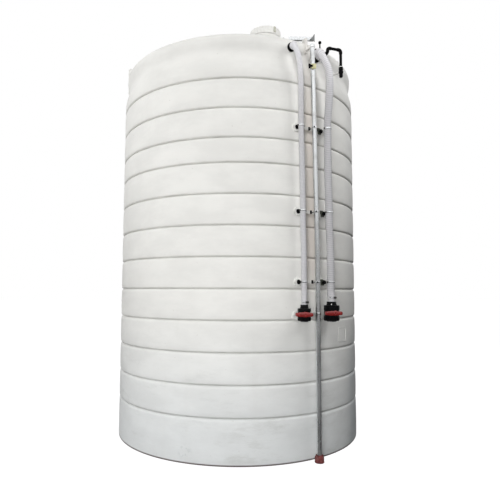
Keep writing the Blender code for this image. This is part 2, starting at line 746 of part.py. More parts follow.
def hose_band(run, reach, hose, height):
    """A steel band round a hose and the short arm that ties it to the bar."""
    azimuth = hose_azimuth(run, height)
    bore = hose + 2 * GAP
    band = ring("band", bore, bore + BAND_THICKNESS, -BAND_HEIGHT / 2, BAND_HEIGHT / 2,
                upright(around(azimuth, reach, height)), steel(), 16)
    wide, high = ARM_WIDTH / 2, 0.4 * BAND_HEIGHT
    arm = block("arm", (-wide, -high, BAR_REACH + BITE - reach), (wide, high, -bore - 0.001),
                facing_out(azimuth, reach, height), steel())
    return [band, arm]


def post_saddle(height, reach):
    """The collar round the post, and the spacer that holds it off a bar at that radius."""
    azimuth, distance = post_azimuth(height)
    spacer = rod("spacer", SPACER_RADIUS, reach + BITE - distance, -POST_RADIUS - GAP - 0.001,
                 facing_out(azimuth, distance, height), steel(), 10)
    return [post_collar(height), spacer]


def build_brackets(cutter):
    """The three brackets that hold the hoses and the post off the wall."""
    for index, height in enumerate(BRACKET_HEIGHTS):
        bar = curved_bar(f"hose_bracket_{index + 1}", BAR_REACH, height, steel())
        left = facing_out(LEFT_PADS[index], BAR_REACH, height)
        right = facing_out(RIGHT_PADS[index], BAR_REACH, height)
        pads = [rod("pad", PAD_RADIUS, -PAD_DEPTH, 0.001, frame, steel(), 16) for frame in (left, right)]
        knob = rod("knob", KNOB_RADIUS, BITE, KNOB_HEIGHT, left, steel(), 12)
        cone = turned("cone", CONE, right, steel(), 12)
        azimuth, distance = post_azimuth(height)
        front = POST_RADIUS + GAP + 0.001
        bolt = rod("bolt", BOLT_RADIUS, front, front + BOLT_LENGTH, facing_out(azimuth, distance, height),
                   steel(), 8)
        bands = (hose_band(LEFT_RUN, LEFT_REACH, LEFT_HOSE, height)
                 + hose_band(RIGHT_RUN, RIGHT_REACH, RIGHT_HOSE, height))
        fuse(bar, [*pads, knob, cone, *bands, *post_saddle(height, BAR_REACH), bolt])
        seat(bar, cutter)


def build_valve_bracket(cutter):
    """The lowest bracket, which the feet of both valves rest on."""
    height = (LEFT_VALVE["height"] + RIGHT_VALVE["height"]) / 2
    bar = curved_bar("valve_bracket", VALVE_BAR_REACH, height, steel())
    pads = [rod("pad", PAD_RADIUS, -VALVE_PAD_DEPTH, 0.001, facing_out(azimuth, VALVE_BAR_REACH, height),
                steel(), 16) for azimuth in VALVE_PADS]
    fuse(bar, [*pads, *post_saddle(height, VALVE_BAR_REACH)])
    seat(bar, cutter)


def build_post_stay(cutter):
    """The stay on the shoulder: a straight bar, a gusset, and a strut with a collar on the post."""
    left, right = (around(*end) for end in STAY_ENDS)
    along = (right - left).normalized()
    across = Vector((0, 0, 1)).cross(along).normalized()
    turn = Matrix((along, across, along.cross(across))).transposed().to_4x4()
    half = (right - left).length / 2
    back, front, low, high = STAY_SECTION
    bar = block("post_stay", (-half, back, low), (half, front, high),
                Matrix.Translation((left + right) / 2) @ turn, steel())
    gusset = block("gusset", *GUSSET, facing_out(*GUSSET_PLACE), steel(), GUSSET_TAPER)
    height = POST_TOP - COLLAR_HEIGHT
    azimuth, distance = post_azimuth(height)
    tongue = block("tongue", (STRUT[0][0], -TONGUE_HEIGHT / 2, STRUT_REACH - distance),
                   (STRUT[1][0], TONGUE_HEIGHT / 2, -POST_RADIUS - 2 * GAP),
                   facing_out(azimuth, distance, height), steel())
    strut = block("strut", *STRUT, facing_out(azimuth, STRUT_REACH, height), steel())
    fuse(bar, [gusset, strut, tongue, post_collar(height, 20)])
    seat(bar, cutter)


def build_overflow(cutter):
    """The black overflow pipe: its flange, the bent pipe, the sleeve at its end and a wall clip."""
    flange = turned("overflow_flange", [(0.0, -0.030), (0.029, -0.030), (0.029, 0.012),
                                        (0.021, OVERFLOW_STUB), (0.0, OVERFLOW_STUB)],
                    facing_out(OVERFLOW_AZIMUTH, RIM_RADIUS, OVERFLOW_OUTLET), black_plastic(), 24)
    seat(flange, cutter)
    elbow = around(OVERFLOW_AZIMUTH, RIM_RADIUS + OVERFLOW_ELBOW, OVERFLOW_OUTLET)
    rise = Vector((elbow.x, elbow.y, OVERFLOW_RUN))
    drop = Vector((*OVERFLOW_DROP, OVERFLOW_RUN))
    corners = [around(OVERFLOW_AZIMUTH, RIM_RADIUS + OVERFLOW_STUB + GAP, OVERFLOW_OUTLET), elbow, rise,
               drop, Vector((*OVERFLOW_DROP, SLEEVE_SPAN[1] + GAP))]
    tube("overflow_pipe", rounded_route(corners, OVERFLOW_BEND), OVERFLOW_RADIUS, black_plastic())
    foot = Vector((*OVERFLOW_DROP, 0.0))
    ring("overflow_sleeve", OVERFLOW_RADIUS - 0.002, SLEEVE_RADIUS, *SLEEVE_SPAN, upright(foot),
         black_plastic(), 20)
    azimuth = degrees(atan2(OVERFLOW_DROP.x, -OVERFLOW_DROP.y))
    reach = OVERFLOW_DROP.length
    height = SLEEVE_SPAN[0] + CLIP_RISE
    clip = ring("overflow_clip", SLEEVE_RADIUS + GAP, SLEEVE_RADIUS + 0.004, -0.010, 0.010,
                upright(around(azimuth, reach, height)), black_plastic(), 20)
    arm = rod("arm", SPACER_RADIUS, WAIST_RADIUS - 0.020 - reach, -SLEEVE_RADIUS - 0.002,
              facing_out(azimuth, reach, height), black_plastic())
    fuse(clip, [arm])
    seat(clip, cutter)


def build_vent(cutter):
    """The small black vent knob that stands on the shoulder."""
    place = upright(around(VENT_AZIMUTH, VENT_REACH, VENT_TOP))
    vent = turned("vent_knob", VENT, place, black_plastic(), 20)
    seat(vent, cutter)


def main():
    """Builds the whole tank."""
    clear_scene()
    cutter = shell_cutter()
    build_floor()
    build_wall()
    build_roof()
    build_crown()
    build_manway_neck()
    build_manway_hinge()
    build_manway_lid()
    build_lugs(cutter)
    build_left_line(cutter)
    build_right_line(cutter)
    build_valve("left", LEFT_VALVE, LEFT_HOSE)
    build_valve("right", RIGHT_VALVE, RIGHT_HOSE)
    build_handle("left", LEFT_VALVE)
    build_handle("right", RIGHT_VALVE)
    build_post()
    build_brackets(cutter)
    build_valve_bracket(cutter)
    build_post_stay(cutter)
    build_overflow(cutter)
    build_vent(cutter)


main()
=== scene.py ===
"""Looks of the vertical polyethylene storage tank, laid out as a Blender add-on.

Metres, +Z up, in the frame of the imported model: the tank's axis is Z, its floor is at height 0 and the
side that carries the hoses faces -Y. An azimuth runs in degrees from -Y towards +X. A fitting's own
frame has X along the wall, Y up and Z outwards. A grid is an array of points in rows, and each row
closes on itself.
"""
from math import atan, atan2, cos, degrees, pi, radians, sin, tan

import bmesh
import bpy
import numpy as np
from bpy.props import FloatProperty, FloatVectorProperty, IntProperty, PointerProperty
from mathutils import Matrix, Vector


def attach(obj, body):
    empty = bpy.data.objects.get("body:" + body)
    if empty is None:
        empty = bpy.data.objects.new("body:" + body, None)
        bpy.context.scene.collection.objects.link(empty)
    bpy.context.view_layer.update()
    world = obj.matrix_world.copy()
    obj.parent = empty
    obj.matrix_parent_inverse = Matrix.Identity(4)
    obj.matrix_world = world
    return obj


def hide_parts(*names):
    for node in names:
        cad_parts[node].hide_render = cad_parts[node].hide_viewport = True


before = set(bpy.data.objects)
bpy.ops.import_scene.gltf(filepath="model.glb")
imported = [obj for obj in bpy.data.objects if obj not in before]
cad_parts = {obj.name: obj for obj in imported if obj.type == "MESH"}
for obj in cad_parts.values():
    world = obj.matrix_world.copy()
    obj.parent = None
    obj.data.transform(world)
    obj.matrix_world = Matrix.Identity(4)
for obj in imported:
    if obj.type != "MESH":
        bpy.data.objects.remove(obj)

bl_info = {
    "name": "Storage Tank Looks",
    "version": (1, 0, 0),
    "blender": (4, 5, 0),
    "location": "View3D > Sidebar > Tank",
    "description": "Builds the finished surfaces of an upright storage tank round its packed model",
    "category": "Object",
}

SEAM = 0.0003
MERGE_DISTANCE = 0.00001

# the shell, from the floor up: heights and counts of the bands, then the waist, rim, shoulder and crown
FOOT_ROUND = 0.006
BAND_RUNS = ((0.395, 1), (0.2765, 4), (0.280, 4), (0.229, 1), (0.2725, 2))
# how far the soiling and painted shade of a groove reach above and below it
SOIL_AND_SHADE_ABOVE, SOIL_AND_SHADE_BELOW = 0.014, 0.007
TAPER_START = 3.468
WAIST_RADIUS, WAIST_HEIGHT = 1.237, 3.659
RIM_RADIUS, RIM_START = 1.255, 3.761
WALL_TOP = 3.782
SHOULDER_REACH, SHOULDER_RISE = 0.561, 0.135
SHOULDER_ANGLE = radians(27)
CROWN_RADIUS, CROWN_FLAT = 0.800, 0.560
SHELL_SIDES = 216

# the lugs: azimuths, and each row's height, width and depth
LUG_AZIMUTHS = (-85.0, 95.0, 155.0)
LUG_ROWS = ((3.700, 0.050, 0.050), (3.720, 0.056, 0.070), (3.900, 0.048, 0.074), (3.985, 0.044, 0.074),
            (4.000, 0.040, 0.070), (4.008, 0.032, 0.060), (4.012, 0.016, 0.040))
LUG_INSET = 0.026

# the moulded frame low on the right, and the half axes of its strip
PANEL_AZIMUTH, PANEL_HEIGHT = 52.0, 1.066
PANEL_SIZE = (0.150, 0.128)
PANEL_BEVEL = 0.010
PANEL_STRIP = (0.0062, 0.0047)

# the manway
MANWAY = (0.294, -0.300)
NECK_RADIUS, NECK_BORE, NECK_FOOT = 0.150, 0.138, 0.186
NECK_TOP, NECK_RIDGE = 4.326, 4.160
NECK_COLLAR = ((0.0, 4.195), (0.0155, 4.238), (0.0170, 4.241), (0.0170, 4.256), (0.0150, 4.259), (0.0, 4.260))
THREAD_SPAN, THREAD_PITCH = (4.268, 4.312), 0.014
LID_RADIUS, LID_BORE = 0.170, 0.1645
LID_BOTTOM, LID_UNDER, LID_RIM, LID_TOP = 4.262, 4.331, 4.341, 4.345
LID_NOTCH, LID_NOTCHES = 0.0032, 30
LATCH_AZIMUTH, LATCH_RISE = 33.6, 0.046
HINGE_REACH, HINGE_PIN = 0.197, 0.005
KNUCKLE_RADIUS, KNUCKLE_WIDTH = 0.011, 0.040

# the two hose lines: radius, reach of the run down the wall, (azimuth, height, flange radius) of the
# inlet, (azimuth, height) points of the run and (azimuth, reach, height) points of the bend above it
LINES = {
    "left": {
        "hose": 0.0255, "reach": 1.339, "inlet": (22.9, 3.737, 0.041), "pitch": 0.0125, "sides": 22,
        "run": ((25.0, 3.200), (25.0, 3.030), (25.0, 2.910), (25.3, 2.620), (25.5, 2.270), (25.5, 2.120),
                (25.75, 1.870), (25.75, 1.640), (25.75, 1.530), (25.75, 1.470)),
        "bends": ((23.1, 1.340, 3.670), (23.8, 1.356, 3.590), (24.2, 1.358, 3.510), (24.6, 1.352, 3.420),
                  (24.9, 1.344, 3.310)),
        "end": 0.110, "clamp": 1.385,
    },
    "right": {
        "hose": 0.0350, "reach": 1.341, "inlet": (36.2, 3.727, 0.062), "pitch": 0.017, "sides": 28,
        "run": ((38.5, 3.050), (38.5, 2.900), (38.4, 2.780), (38.5, 2.500), (38.8, 2.270), (38.8, 2.120),
                (39.3, 1.870), (39.3, 1.640), (39.3, 1.530), (39.3, 1.470)),
        "bends": ((36.6, 1.365, 3.625), (37.4, 1.385, 3.540), (38.0, 1.385, 3.450), (38.4, 1.373, 3.350),
                  (38.7, 1.356, 3.220)),
        "end": 0.130, "clamp": 1.423,
    },
}
INLET_TILT, INLET_SET, INLET_SPIGOT = 8.0, 0.003, 0.034
HOSE_FLARE = (0.90, 0.035)
BORE_STEP = 40

# the post, plumb up to the bend and then leaning towards the left
POST_AZIMUTH, POST_TOP_AZIMUTH = 31.8, 30.2
POST_REACH, POST_RADIUS, POST_WALL = 1.351, 0.0212, 0.0026
POST_BOTTOM, POST_BEND, POST_END, POST_TOP = 0.012, 1.750, 3.757, 3.800
CAP_RADIUS, CAP_HEIGHT = 0.0415, 0.064
CLIP_HEIGHT = 3.545
STUD_FACING = -9.0

# the brackets: azimuths of the pads, bolts and cones on each, and how far its hose bands sit above it
BRACKET_HEIGHTS = (1.562, 2.196, 2.972)
BAR_REACH, BAR_THICKNESS, BAR_HEIGHT = 1.289, 0.006, 0.030
BAR_AZIMUTHS = (22.6, 41.2)
LEFT_PADS = (24.6, 24.6, 24.35)
RIGHT_PADS = (37.0, 36.2, 35.4)
BOLTS = (31.0, 30.6, 30.1)
CONES = (37.0, 37.3, 36.1)
BAND_LIFTS = {"left": (0.0, 0.0, 0.0), "right": (0.0, 0.013, 0.025)}
PAD_RADIUS = 0.039

# the valves: the lever runs from its first to its last distance along the wall from the spindle
VALVES = {
    "left": {"height": 1.279, "azimuth": 25.6, "reach": 1.345, "nut": 0.056, "half": 0.075, "low": 0.064,
             "facing": 0.0, "lever": (-0.087, 0.067)},
    "right": {"height": 1.285, "azimuth": 38.8, "reach": 1.357, "nut": 0.068, "half": 0.092, "low": 0.077,
              "facing": 12.0, "lever": (-0.099, 0.067)},
}
VALVE_PADS, VALVE_PAD_HEIGHT = (23.7, 35.9), 1.268
VALVE_BAR_REACH, VALVE_BAR_HEIGHT = 1.2803, 1.282
PLUG_RISE, PLUG_FACING = 0.078, -10.9
HANDLE_THICKNESS, HANDLE_CLEARANCE = 0.016, 0.006
STEM_RADIUS = 0.007

# the stay, the overflow and the vent
STAY_ENDS = ((22.6, 1.205, 3.842), (36.2, 1.222, 3.905))
STAY_FACING, STAY_DROP = 29.0, 0.020
GUSSET_PLACE, GUSSET_HEIGHT = (35.8, 1.240, 3.877), 0.066
STRUT_REACH = 1.262
OVERFLOW_AZIMUTH, OVERFLOW_OUTLET, OVERFLOW_RUN = 41.0, 3.768, 3.818
OVERFLOW_DROP = (0.991, -0.942)
OVERFLOW_RADIUS, OVERFLOW_BEND = 0.015, 0.024
SLEEVE_RADIUS, SLEEVE_SPAN = 0.021, (3.547, 3.645)
VENT_PLACE = (41.0, 1.211, 3.924)

# where the wall takes a painted warm reflection and shade beside the post and where it is scuffed, and the
# colours that soiling and painted shade lay on polyethylene, in their order
POST_SHADE_PLACE = (31.7, 1.275, 0.0)
SCUFF_PLACE = (-21.0, 1.275, 0.095)
# the wall's colour near the floor: a painted cool shade
PAINTED_COOL_SHADE = (0.765, 0.785, 0.785)
# beside the post a painted warm reflection and shade; in the grooves soiling with painted shade; along the
# foot a painted contact shadow; low on the right painted shade
DIRT_AND_SHADE_TINTS = {
    "runs": (0.60, 0.59, 0.56), "blotch": (0.58, 0.525, 0.475), "scuff": (0.50, 0.54, 0.54),
    "wear": (0.56, 0.57, 0.55), "specks": (0.42, 0.39, 0.34), "soil_and_shade": (0.36, 0.35, 0.32),
    "foot": (0.08, 0.050, 0.050), "painted_shade_low_right": (0.38, 0.42, 0.46),
}
DUST_TINT = (0.36, 0.35, 0.33)
DULL_TINT = (0.30, 0.28, 0.25)


def length_setting(name, default, description):
    """A length that a user may change."""
    return FloatProperty(name=name, default=default, unit="LENGTH", description=description)


def colour_setting(name, default, description):
    """A base colour that a user may change."""
    return FloatVectorProperty(name=name, default=default, subtype="COLOR", size=3, description=description)


class TankShellSettings(bpy.types.PropertyGroup):
    """Sizes of the moulded shell."""

    wall_radius: length_setting("Wall radius", 1.275, "Radius of the wall between its grooves")
    wall_thickness: length_setting("Wall thickness", 0.012, "Thickness of the moulded wall and roof")
    groove_depth: length_setting("Groove depth", 0.019, "How far each groove goes into the wall")
    groove_lip: length_setting("Groove lip", 0.030, "Height of the slope below each groove")
    groove_step: length_setting("Groove step", 0.019, "Height of the round nose above each groove")
    band_belly: length_setting("Band belly", 0.002, "How far a band's middle stands out beyond its edges")


class TankHoseSettings(bpy.types.PropertyGroup):
    """Make of the two clear hoses."""

    rib_height: length_setting("Rib height", 0.0008, "How far the wire's spiral stands out of the hose")
    rows_per_turn: IntProperty(name="Rows per turn", default=8, min=4,
                               description="Rows of faces along one turn of the wire")
    wall: length_setting("Hose wall", 0.0035, "Thickness of the hose's wall")


class TankColourSettings(bpy.types.PropertyGroup):
    """Base colours of the finishes."""

    shell: colour_setting("Polyethylene", (0.80, 0.795, 0.765), "Clean moulded wall")
    black: colour_setting("Black plastic", (0.0028, 0.0028, 0.0032), "Pipe plastic of valves and fittings")
    red: colour_setting("Red plastic", (0.205, 0.0095, 0.009), "Valve levers")
    steel: colour_setting("Steel", (0.79, 0.81, 0.82), "Post, bands and screws")
    hose: colour_setting("Hose", (0.71, 0.70, 0.72), "Milky clear hose")
    cap: colour_setting("Foot cap", (0.155, 0.034, 0.033), "Red-brown primer on the post's foot cap")
    clip: colour_setting("Clip", (0.60, 0.575, 0.34), "Yellow plate of the post's clip")


class TankStageSettings(bpy.types.PropertyGroup):
    """Camera and studio light."""

    eye_height: length_setting("Eye height", 1.490, "Height of the camera above the ground")
    eye_distance: length_setting("Eye distance", 5.478, "Distance of the camera from the tank's axis")
    tilt: FloatProperty(name="Tilt", default=0.0798, subtype="ANGLE", description="Camera's upward tilt")
    roll: FloatProperty(name="Roll", default=0.0031, subtype="ANGLE", description="Roll of the camera")
    lens: FloatProperty(name="Lens", default=34.82, unit="CAMERA", description="Camera's focal length")
    shift: FloatVectorProperty(name="Shift", size=2, default=(0.0237, 0.0025),
                               description="Shift of the picture in picture widths")
    lamp_power: FloatProperty(name="Lamp power", default=100.0, unit="POWER",
                              description="Power of a lamp of strength one")


def settings(name):
    """One of the add-on's property groups."""
    return getattr(bpy.context.scene, name)


# places

def around(azimuth, radius, height):
    """The point at an azimuth, a distance from the axis and a height."""
    angle = radians(azimuth)
    return Vector((radius * sin(angle), -radius * cos(angle), height))


def azimuth_of(point):
    """A point's azimuth and its distance from the tank's axis."""
    return degrees(atan2(point.x, -point.y)), point.xy.length


def facing_out(azimuth, radius=0.0, height=0.0, tilt=0.0):
    """A frame on the wall: X along the wall, Y up and Z outwards, tipped down by the tilt."""
    angle = radians(azimuth)
    along, out = Vector((cos(angle), sin(angle), 0.0)), Vector((sin(angle), -cos(angle), 0.0))
    turn = Matrix((along, (0.0, 0.0, 1.0), out)).transposed().to_4x4()
    return Matrix.Translation(around(azimuth, radius, height)) @ turn @ Matrix.Rotation(radians(tilt), 4, "X")


def upright(point):
    """A frame that only moves to a point."""
    return Matrix.Translation(Vector(point))


def placed(grid, matrix):
    """A grid carried into a frame: each point times the frame's turn, plus its place."""
    matrix = np.array(matrix)
    return grid @ matrix[:3, :3].T + matrix[:3, 3]


# surfaces of two parameters

def closed(rows):
    """The rows with the first one again at their end."""
    return np.concatenate([rows, rows[:1]])


def revolve(profile, sides, ripple=None, count=0, phase=0.0):
    """A profile turned about Z: x = r cos a, y = r sin a, z = h, one row for each (r, h).

    A ripple cuts each row's radius by its own depth in `count` even notches round the turn, as a cosine
    wave steepened and held between its limits.
    """
    profile = np.asarray(profile, float)
    angle = np.linspace(0.0, 2 * pi, sides, endpoint=False)
    radius = np.repeat(profile[:, :1], sides, axis=1)
    if ripple is not None:
        notch = 0.5 - 0.5 * np.clip(1.8 * np.cos(count * angle + phase), -1.0, 1.0)
        radius = radius - np.asarray(ripple, float)[:, None] * notch
    return np.stack([radius * np.cos(angle), radius * np.sin(angle), profile[:, 1:2] + 0 * angle], axis=-1)


def capped(grid):
    """The grid with one point at the middle of each end row, which closes both ends."""
    first, last = (np.broadcast_to(row.mean(axis=0), row.shape)[None] for row in (grid[0], grid[-1]))
    return np.concatenate([first, grid, last])


def unit(vectors):
    """Each vector at length one."""
    return vectors / np.linalg.norm(vectors, axis=-1, keepdims=True)


def route_frames(path, across):
    """Side and up directions along a path: side is `across` made square to the path, up the third."""
    tangent = unit(np.gradient(path, axis=0))
    side = unit(np.asarray(across, float) - tangent * (tangent @ np.asarray(across, float))[:, None])
    return tangent, side, np.cross(tangent, side)


def carry(section, path, across):
    """A closed section of (u, v) points carried along a path: point = path + u side + v up."""
    path = np.asarray(path, float)
    _, side, up = route_frames(path, across)
    section = np.broadcast_to(section, (len(path), *np.shape(section)[-2:]))
    return path[:, None] + section[..., :1] * side[:, None] + section[..., 1:] * up[:, None]


def circle(radius, sides):
    """A round section of one radius, or of one for each row of a path."""
    angle = np.linspace(0.0, 2 * pi, sides, endpoint=False)
    ring = np.stack([np.cos(angle), np.sin(angle)], axis=-1)
    return np.asarray(radius, float)[..., None, None] * ring


def quarter_turns(steps):
    """Angles of the four quarters of a turn, each with both its ends, and each quarter's signs."""
    start = np.repeat(np.arange(4) * pi / 2, steps + 1)
    angle = start + np.tile(np.linspace(0.0, pi / 2, steps + 1), 4)
    middle = start + pi / 4
    return angle, np.sign(np.cos(middle)), np.sign(np.sin(middle))


def rounded_rectangle(width, height, bevel, steps=3):
    """A rectangle with round corners: a circle of the bevel's radius, pulled apart by quarters."""
    angle, east, north = quarter_turns(steps)
    return np.stack([east * (width / 2 - bevel) + bevel * np.cos(angle),
                     north * (height / 2 - bevel) + bevel * np.sin(angle)], axis=-1)


def changing_section(width, height, bevel, steps=3):
    """A rounded square, stretched for each row of a path to that row's width and height."""
    return rounded_rectangle(1.0, 1.0, bevel, steps) * np.stack([width, height], axis=-1)[:, None]


def bar(path, across, width, height, bevel):
    """A rounded bar along a path: near each end the section shrinks as a quarter circle of the bevel."""
    path = np.asarray(path, float)
    tangent, _, _ = route_frames(path, across)
    angle = np.linspace(pi / 2, 0.0, 4)
    step, drop = bevel * (1 - np.sin(angle)), bevel * (1 - np.cos(angle))
    first = path[0] + tangent[0] * step[:, None]
    last = path[-1] - tangent[-1] * step[::-1, None]
    rows = np.concatenate([first, path[1:-1], last])
    inset = np.concatenate([drop, np.zeros(len(path) - 2), drop[::-1]])
    shrink = 1 - inset[:, None, None] / (0.5 * np.array([width, height]))
    return capped(carry(rounded_rectangle(width, height, bevel) * shrink, rows, across))


def rounded_box(low, high, bevel, steps=3):
    """A box with round edges: the eight octants of a sphere, pulled apart to the box's corners."""
    low, high = np.asarray(low, float), np.asarray(high, float)
    turn, east, north = quarter_turns(steps)
    below, above = np.linspace(-pi / 2, 0.0, steps + 1), np.linspace(0.0, pi / 2, steps + 1)
    rise = np.concatenate([below, above])[:, None]
    half = (high - low) / 2 - bevel
    level = np.where(np.arange(2 * steps + 2) > steps, 1.0, -1.0)[:, None]
    grid = np.stack([east * half[0] + bevel * np.cos(rise) * np.cos(turn),
                     north * half[1] + bevel * np.cos(rise) * np.sin(turn),
                     level * half[2] + bevel * np.sin(rise) + 0 * turn], axis=-1)
    return capped(grid + (low + high) / 2)


def cylinder(radius, low, high, bevel, sides=20, ripple=0.0, count=0):
    """A short round bar along Z with quarter-round edges, and notches round it if it has a ripple."""
    angle = np.linspace(0.0, pi / 2, 4)
    foot = np.stack([radius - bevel * (1 - np.sin(angle)), low + bevel * (1 - np.cos(angle))], axis=-1)
    head = np.stack([radius - bevel * (1 - np.cos(angle)), high - bevel * (1 - np.sin(angle))], axis=-1)
    profile = np.concatenate([foot, head])
    return capped(revolve(profile, sides, np.full(len(profile), ripple), count))


def washer(bore, radius, low, high, bevel, sides=32):
    """A flat ring about Z with rounded edges, as one closed profile turned round."""
    section = closed(rounded_rectangle(radius - bore, high - low, bevel))
    return revolve(section + [(radius + bore) / 2, (low + high) / 2], sides)


# routes

def respaced(points, step):
    """Points at even lengths along a path, about one step apart, and their lengths from its start."""
    reach = np.concatenate([[0.0], np.cumsum(np.linalg.norm(np.diff(points, axis=0), axis=1))])
    along = np.linspace(0.0, reach[-1], max(2, round(reach[-1] / step)))
    return np.stack([np.interp(along, reach, points[:, axis]) for axis in range(3)], axis=-1), along


def smooth_route(knots):
    """A Catmull-Rom curve: on each span a cubic in t through both knots, with the slope of its neighbours."""
    knots = np.asarray(knots, float)
    padded = np.concatenate([2 * knots[:1] - knots[1:2], knots, 2 * knots[-1:] - knots[-2:-1]])
    a, b, c, d = (padded[start:len(padded) - 3 + start, None] for start in range(4))
    t = np.linspace(0.0, 1.0, 24, endpoint=False)[None, :, None]
    square, cube = 2 * a - 5 * b + 4 * c - d, 3 * b - a - 3 * c + d
    span = b + 0.5 * ((c - a) * t + square * t ** 2 + cube * t ** 3)
    return np.concatenate([span.reshape(-1, 3), knots[-1:]])


def rounded_route(corners, bend, steps=8):
    """Straight runs through the corners, with an arc of the bend radius at each inner corner."""
    corners = [np.asarray(corner, float) for corner in corners]
    rows = [corners[0][None]]
    for before, corner, after in zip(corners, corners[1:], corners[2:]):
        into, away = unit(corner - before), unit(after - corner)
        turn = np.arccos(np.clip(into @ away, -1.0, 1.0))
        side = unit(away - into * (into @ away))
        angle = np.linspace(0.0, turn, steps + 1)[:, None]
        rows.append(corner - into * bend * np.tan(turn / 2) + into * bend * np.sin(angle)
                    + side * bend * (1 - np.cos(angle)))
    return np.concatenate([*rows, corners[-1][None]])


# pieces

def make_piece(name, grids, look, nodes=(), body="root", place=None, shade=None, crease=35.0):
    """Joins grids into one mesh with its faces outwards and hands it to the frame.

    Each quad joins two neighbours in a row with the two beside them in the next row. The shade is one
    number for each point, which the finish reads as an attribute.
    """
    points, quads, count = [], [], 0
    for grid in grids:
        index = count + np.arange(grid[..., 0].size).reshape(grid.shape[:2])
        after = np.roll(index, -1, axis=1)
        quads.append(np.stack([index[:-1], after[:-1], after[1:], index[1:]], axis=-1).reshape(-1, 4))
        points.append((grid if place is None else placed(grid, place)).reshape(-1, 3))
        count += index.size
    mesh = bpy.data.meshes.new(name)
    mesh.from_pydata(np.concatenate(points), [], np.concatenate(quads))
    if shade is not None:
        mesh.attributes.new("shade", "FLOAT", "POINT").data.foreach_set("value", np.ravel(shade))
    bm = bmesh.new()
    bm.from_mesh(mesh)
    bmesh.ops.remove_doubles(bm, verts=bm.verts, dist=MERGE_DISTANCE)
    bmesh.ops.recalc_face_normals(bm, faces=bm.faces)
    bm.to_mesh(mesh)
    bm.free()
    mesh.shade_smooth()
    mesh.set_sharp_from_angle(angle=radians(crease))
    mesh.materials.append(finish(look))
    piece = bpy.data.objects.new(name, mesh)
    bpy.context.scene.collection.objects.link(piece)
    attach(piece, body)
    if nodes:
        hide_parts(*nodes)


# the shell's profile

def groove_heights():
    """The height of each groove, from the floor up."""
    return np.cumsum(np.concatenate([np.full(count, band) for band, count in BAND_RUNS]))


def groove_edge(height, radius, depth, lip, step):
    """One groove from below: a slope that steepens inwards, then a quarter ellipse out to the next band."""
    share = np.linspace(0.0, 1.0, 8)
    slope = np.stack([radius - depth * share ** 1.8, height - lip * (1 - share)], axis=-1)
    angle = np.linspace(0.0, pi / 2, 7)[1:]
    nose = np.stack([radius - depth + depth * np.sin(angle), height + step * (1 - np.cos(angle))], axis=-1)
    return np.concatenate([slope, nose])


def wall_profile():
    """The wall's outer edge from the middle of the floor's underside up to the rim.

    A band bulges as a parabola; the taper to the waist and the flare to the rim ease as 3 s^2 - 2 s^3.
    """
    shell = settings("tank_shell")
    belly, edge = shell.band_belly, shell.wall_radius - shell.band_belly
    angle = np.linspace(-pi / 2, 0.0, 7)
    foot = np.stack([edge - FOOT_ROUND + FOOT_ROUND * np.cos(angle),
                     FOOT_ROUND + FOOT_ROUND * np.sin(angle)], axis=-1)
    rows, start = [np.array([[0.0, 0.0], [0.5 * shell.wall_radius, 0.0]]), foot], FOOT_ROUND
    share = np.linspace(0.0, 1.0, 8)[1:-1]
    for height in groove_heights():
        stop = height - shell.groove_lip
        rows.append(np.stack([shell.wall_radius - belly * (2 * share - 1) ** 2,
                              start + (stop - start) * share], axis=-1))
        rows.append(groove_edge(height, edge, shell.groove_depth - belly, shell.groove_lip,
                                shell.groove_step))
        start = height + shell.groove_step
    share = np.linspace(0.0, 1.0, 12)
    ease = share * share * (3 - 2 * share)
    rows.append(np.stack([edge + (WAIST_RADIUS - edge) * ease,
                          TAPER_START + (WAIST_HEIGHT - TAPER_START) * share], axis=-1))
    rows.append(np.stack([WAIST_RADIUS + (RIM_RADIUS - WAIST_RADIUS) * ease[1:],
                          WAIST_HEIGHT + (RIM_START - WAIST_HEIGHT) * share[1:]], axis=-1))
    return np.concatenate([*rows, [[RIM_RADIUS, WALL_TOP]]])


def inward(profile, thickness):
    """The profile moved along its own normal, to the left of its direction."""
    tangent = unit(np.gradient(profile, axis=0))
    return profile + thickness * np.stack([-tangent[:, 1], tangent[:, 0]], axis=-1)


def roof_profile():
    """The roof's outer edge: an elliptical shoulder, a cone that carries on its slope, and the round
    bend to the crown's flat."""
    angle = np.linspace(0.0, SHOULDER_ANGLE, 14)
    shoulder = np.stack([RIM_RADIUS - SHOULDER_REACH + SHOULDER_REACH * np.cos(angle),
                         WALL_TOP + SEAM + SHOULDER_RISE * np.sin(angle)], axis=-1)
    slope = SHOULDER_RISE / (SHOULDER_REACH * tan(SHOULDER_ANGLE))
    radius = np.linspace(shoulder[-1, 0], CROWN_RADIUS, 8)[1:]
    cone = np.stack([radius, shoulder[-1, 1] + (shoulder[-1, 0] - radius) * slope], axis=-1)
    tip = atan(slope)
    bend = (CROWN_RADIUS - CROWN_FLAT) / sin(tip)
    angle = np.linspace(tip, 0.0, 9)[1:]
    crown = np.stack([CROWN_FLAT + bend * np.sin(angle),
                      cone[-1, 1] + bend * (np.cos(angle) - cos(tip))], axis=-1)
    return np.concatenate([shoulder, cone, crown])


def crown_top():
    """The height of the crown's flat."""
    return roof_profile()[-1, 1]


def crown_flat(height):
    """Rings from the crown's flat edge to the manway's hole: centre and radius both change evenly."""
    share = np.linspace(0.0, 1.0, 8)[1:, None]
    angle = np.linspace(0.0, 2 * pi, SHELL_SIDES, endpoint=False)
    radius = CROWN_FLAT + (NECK_BORE - CROWN_FLAT) * share
    return np.stack([MANWAY[0] * share + radius * np.cos(angle), MANWAY[1] * share + radius * np.sin(angle),
                     np.full((len(share), SHELL_SIDES), height)], axis=-1)


def groove_soil_and_shade(grid):
    """How much soiling and painted shade lies on each point of the wall: most in a groove and on the slope
    below it.
    """
    height = grid[..., 2][..., None] - groove_heights()
    return np.exp(-np.where(height > 0, height / SOIL_AND_SHADE_ABOVE, height / SOIL_AND_SHADE_BELOW) ** 2).max(axis=-1)


# the post, the valves and the hoses

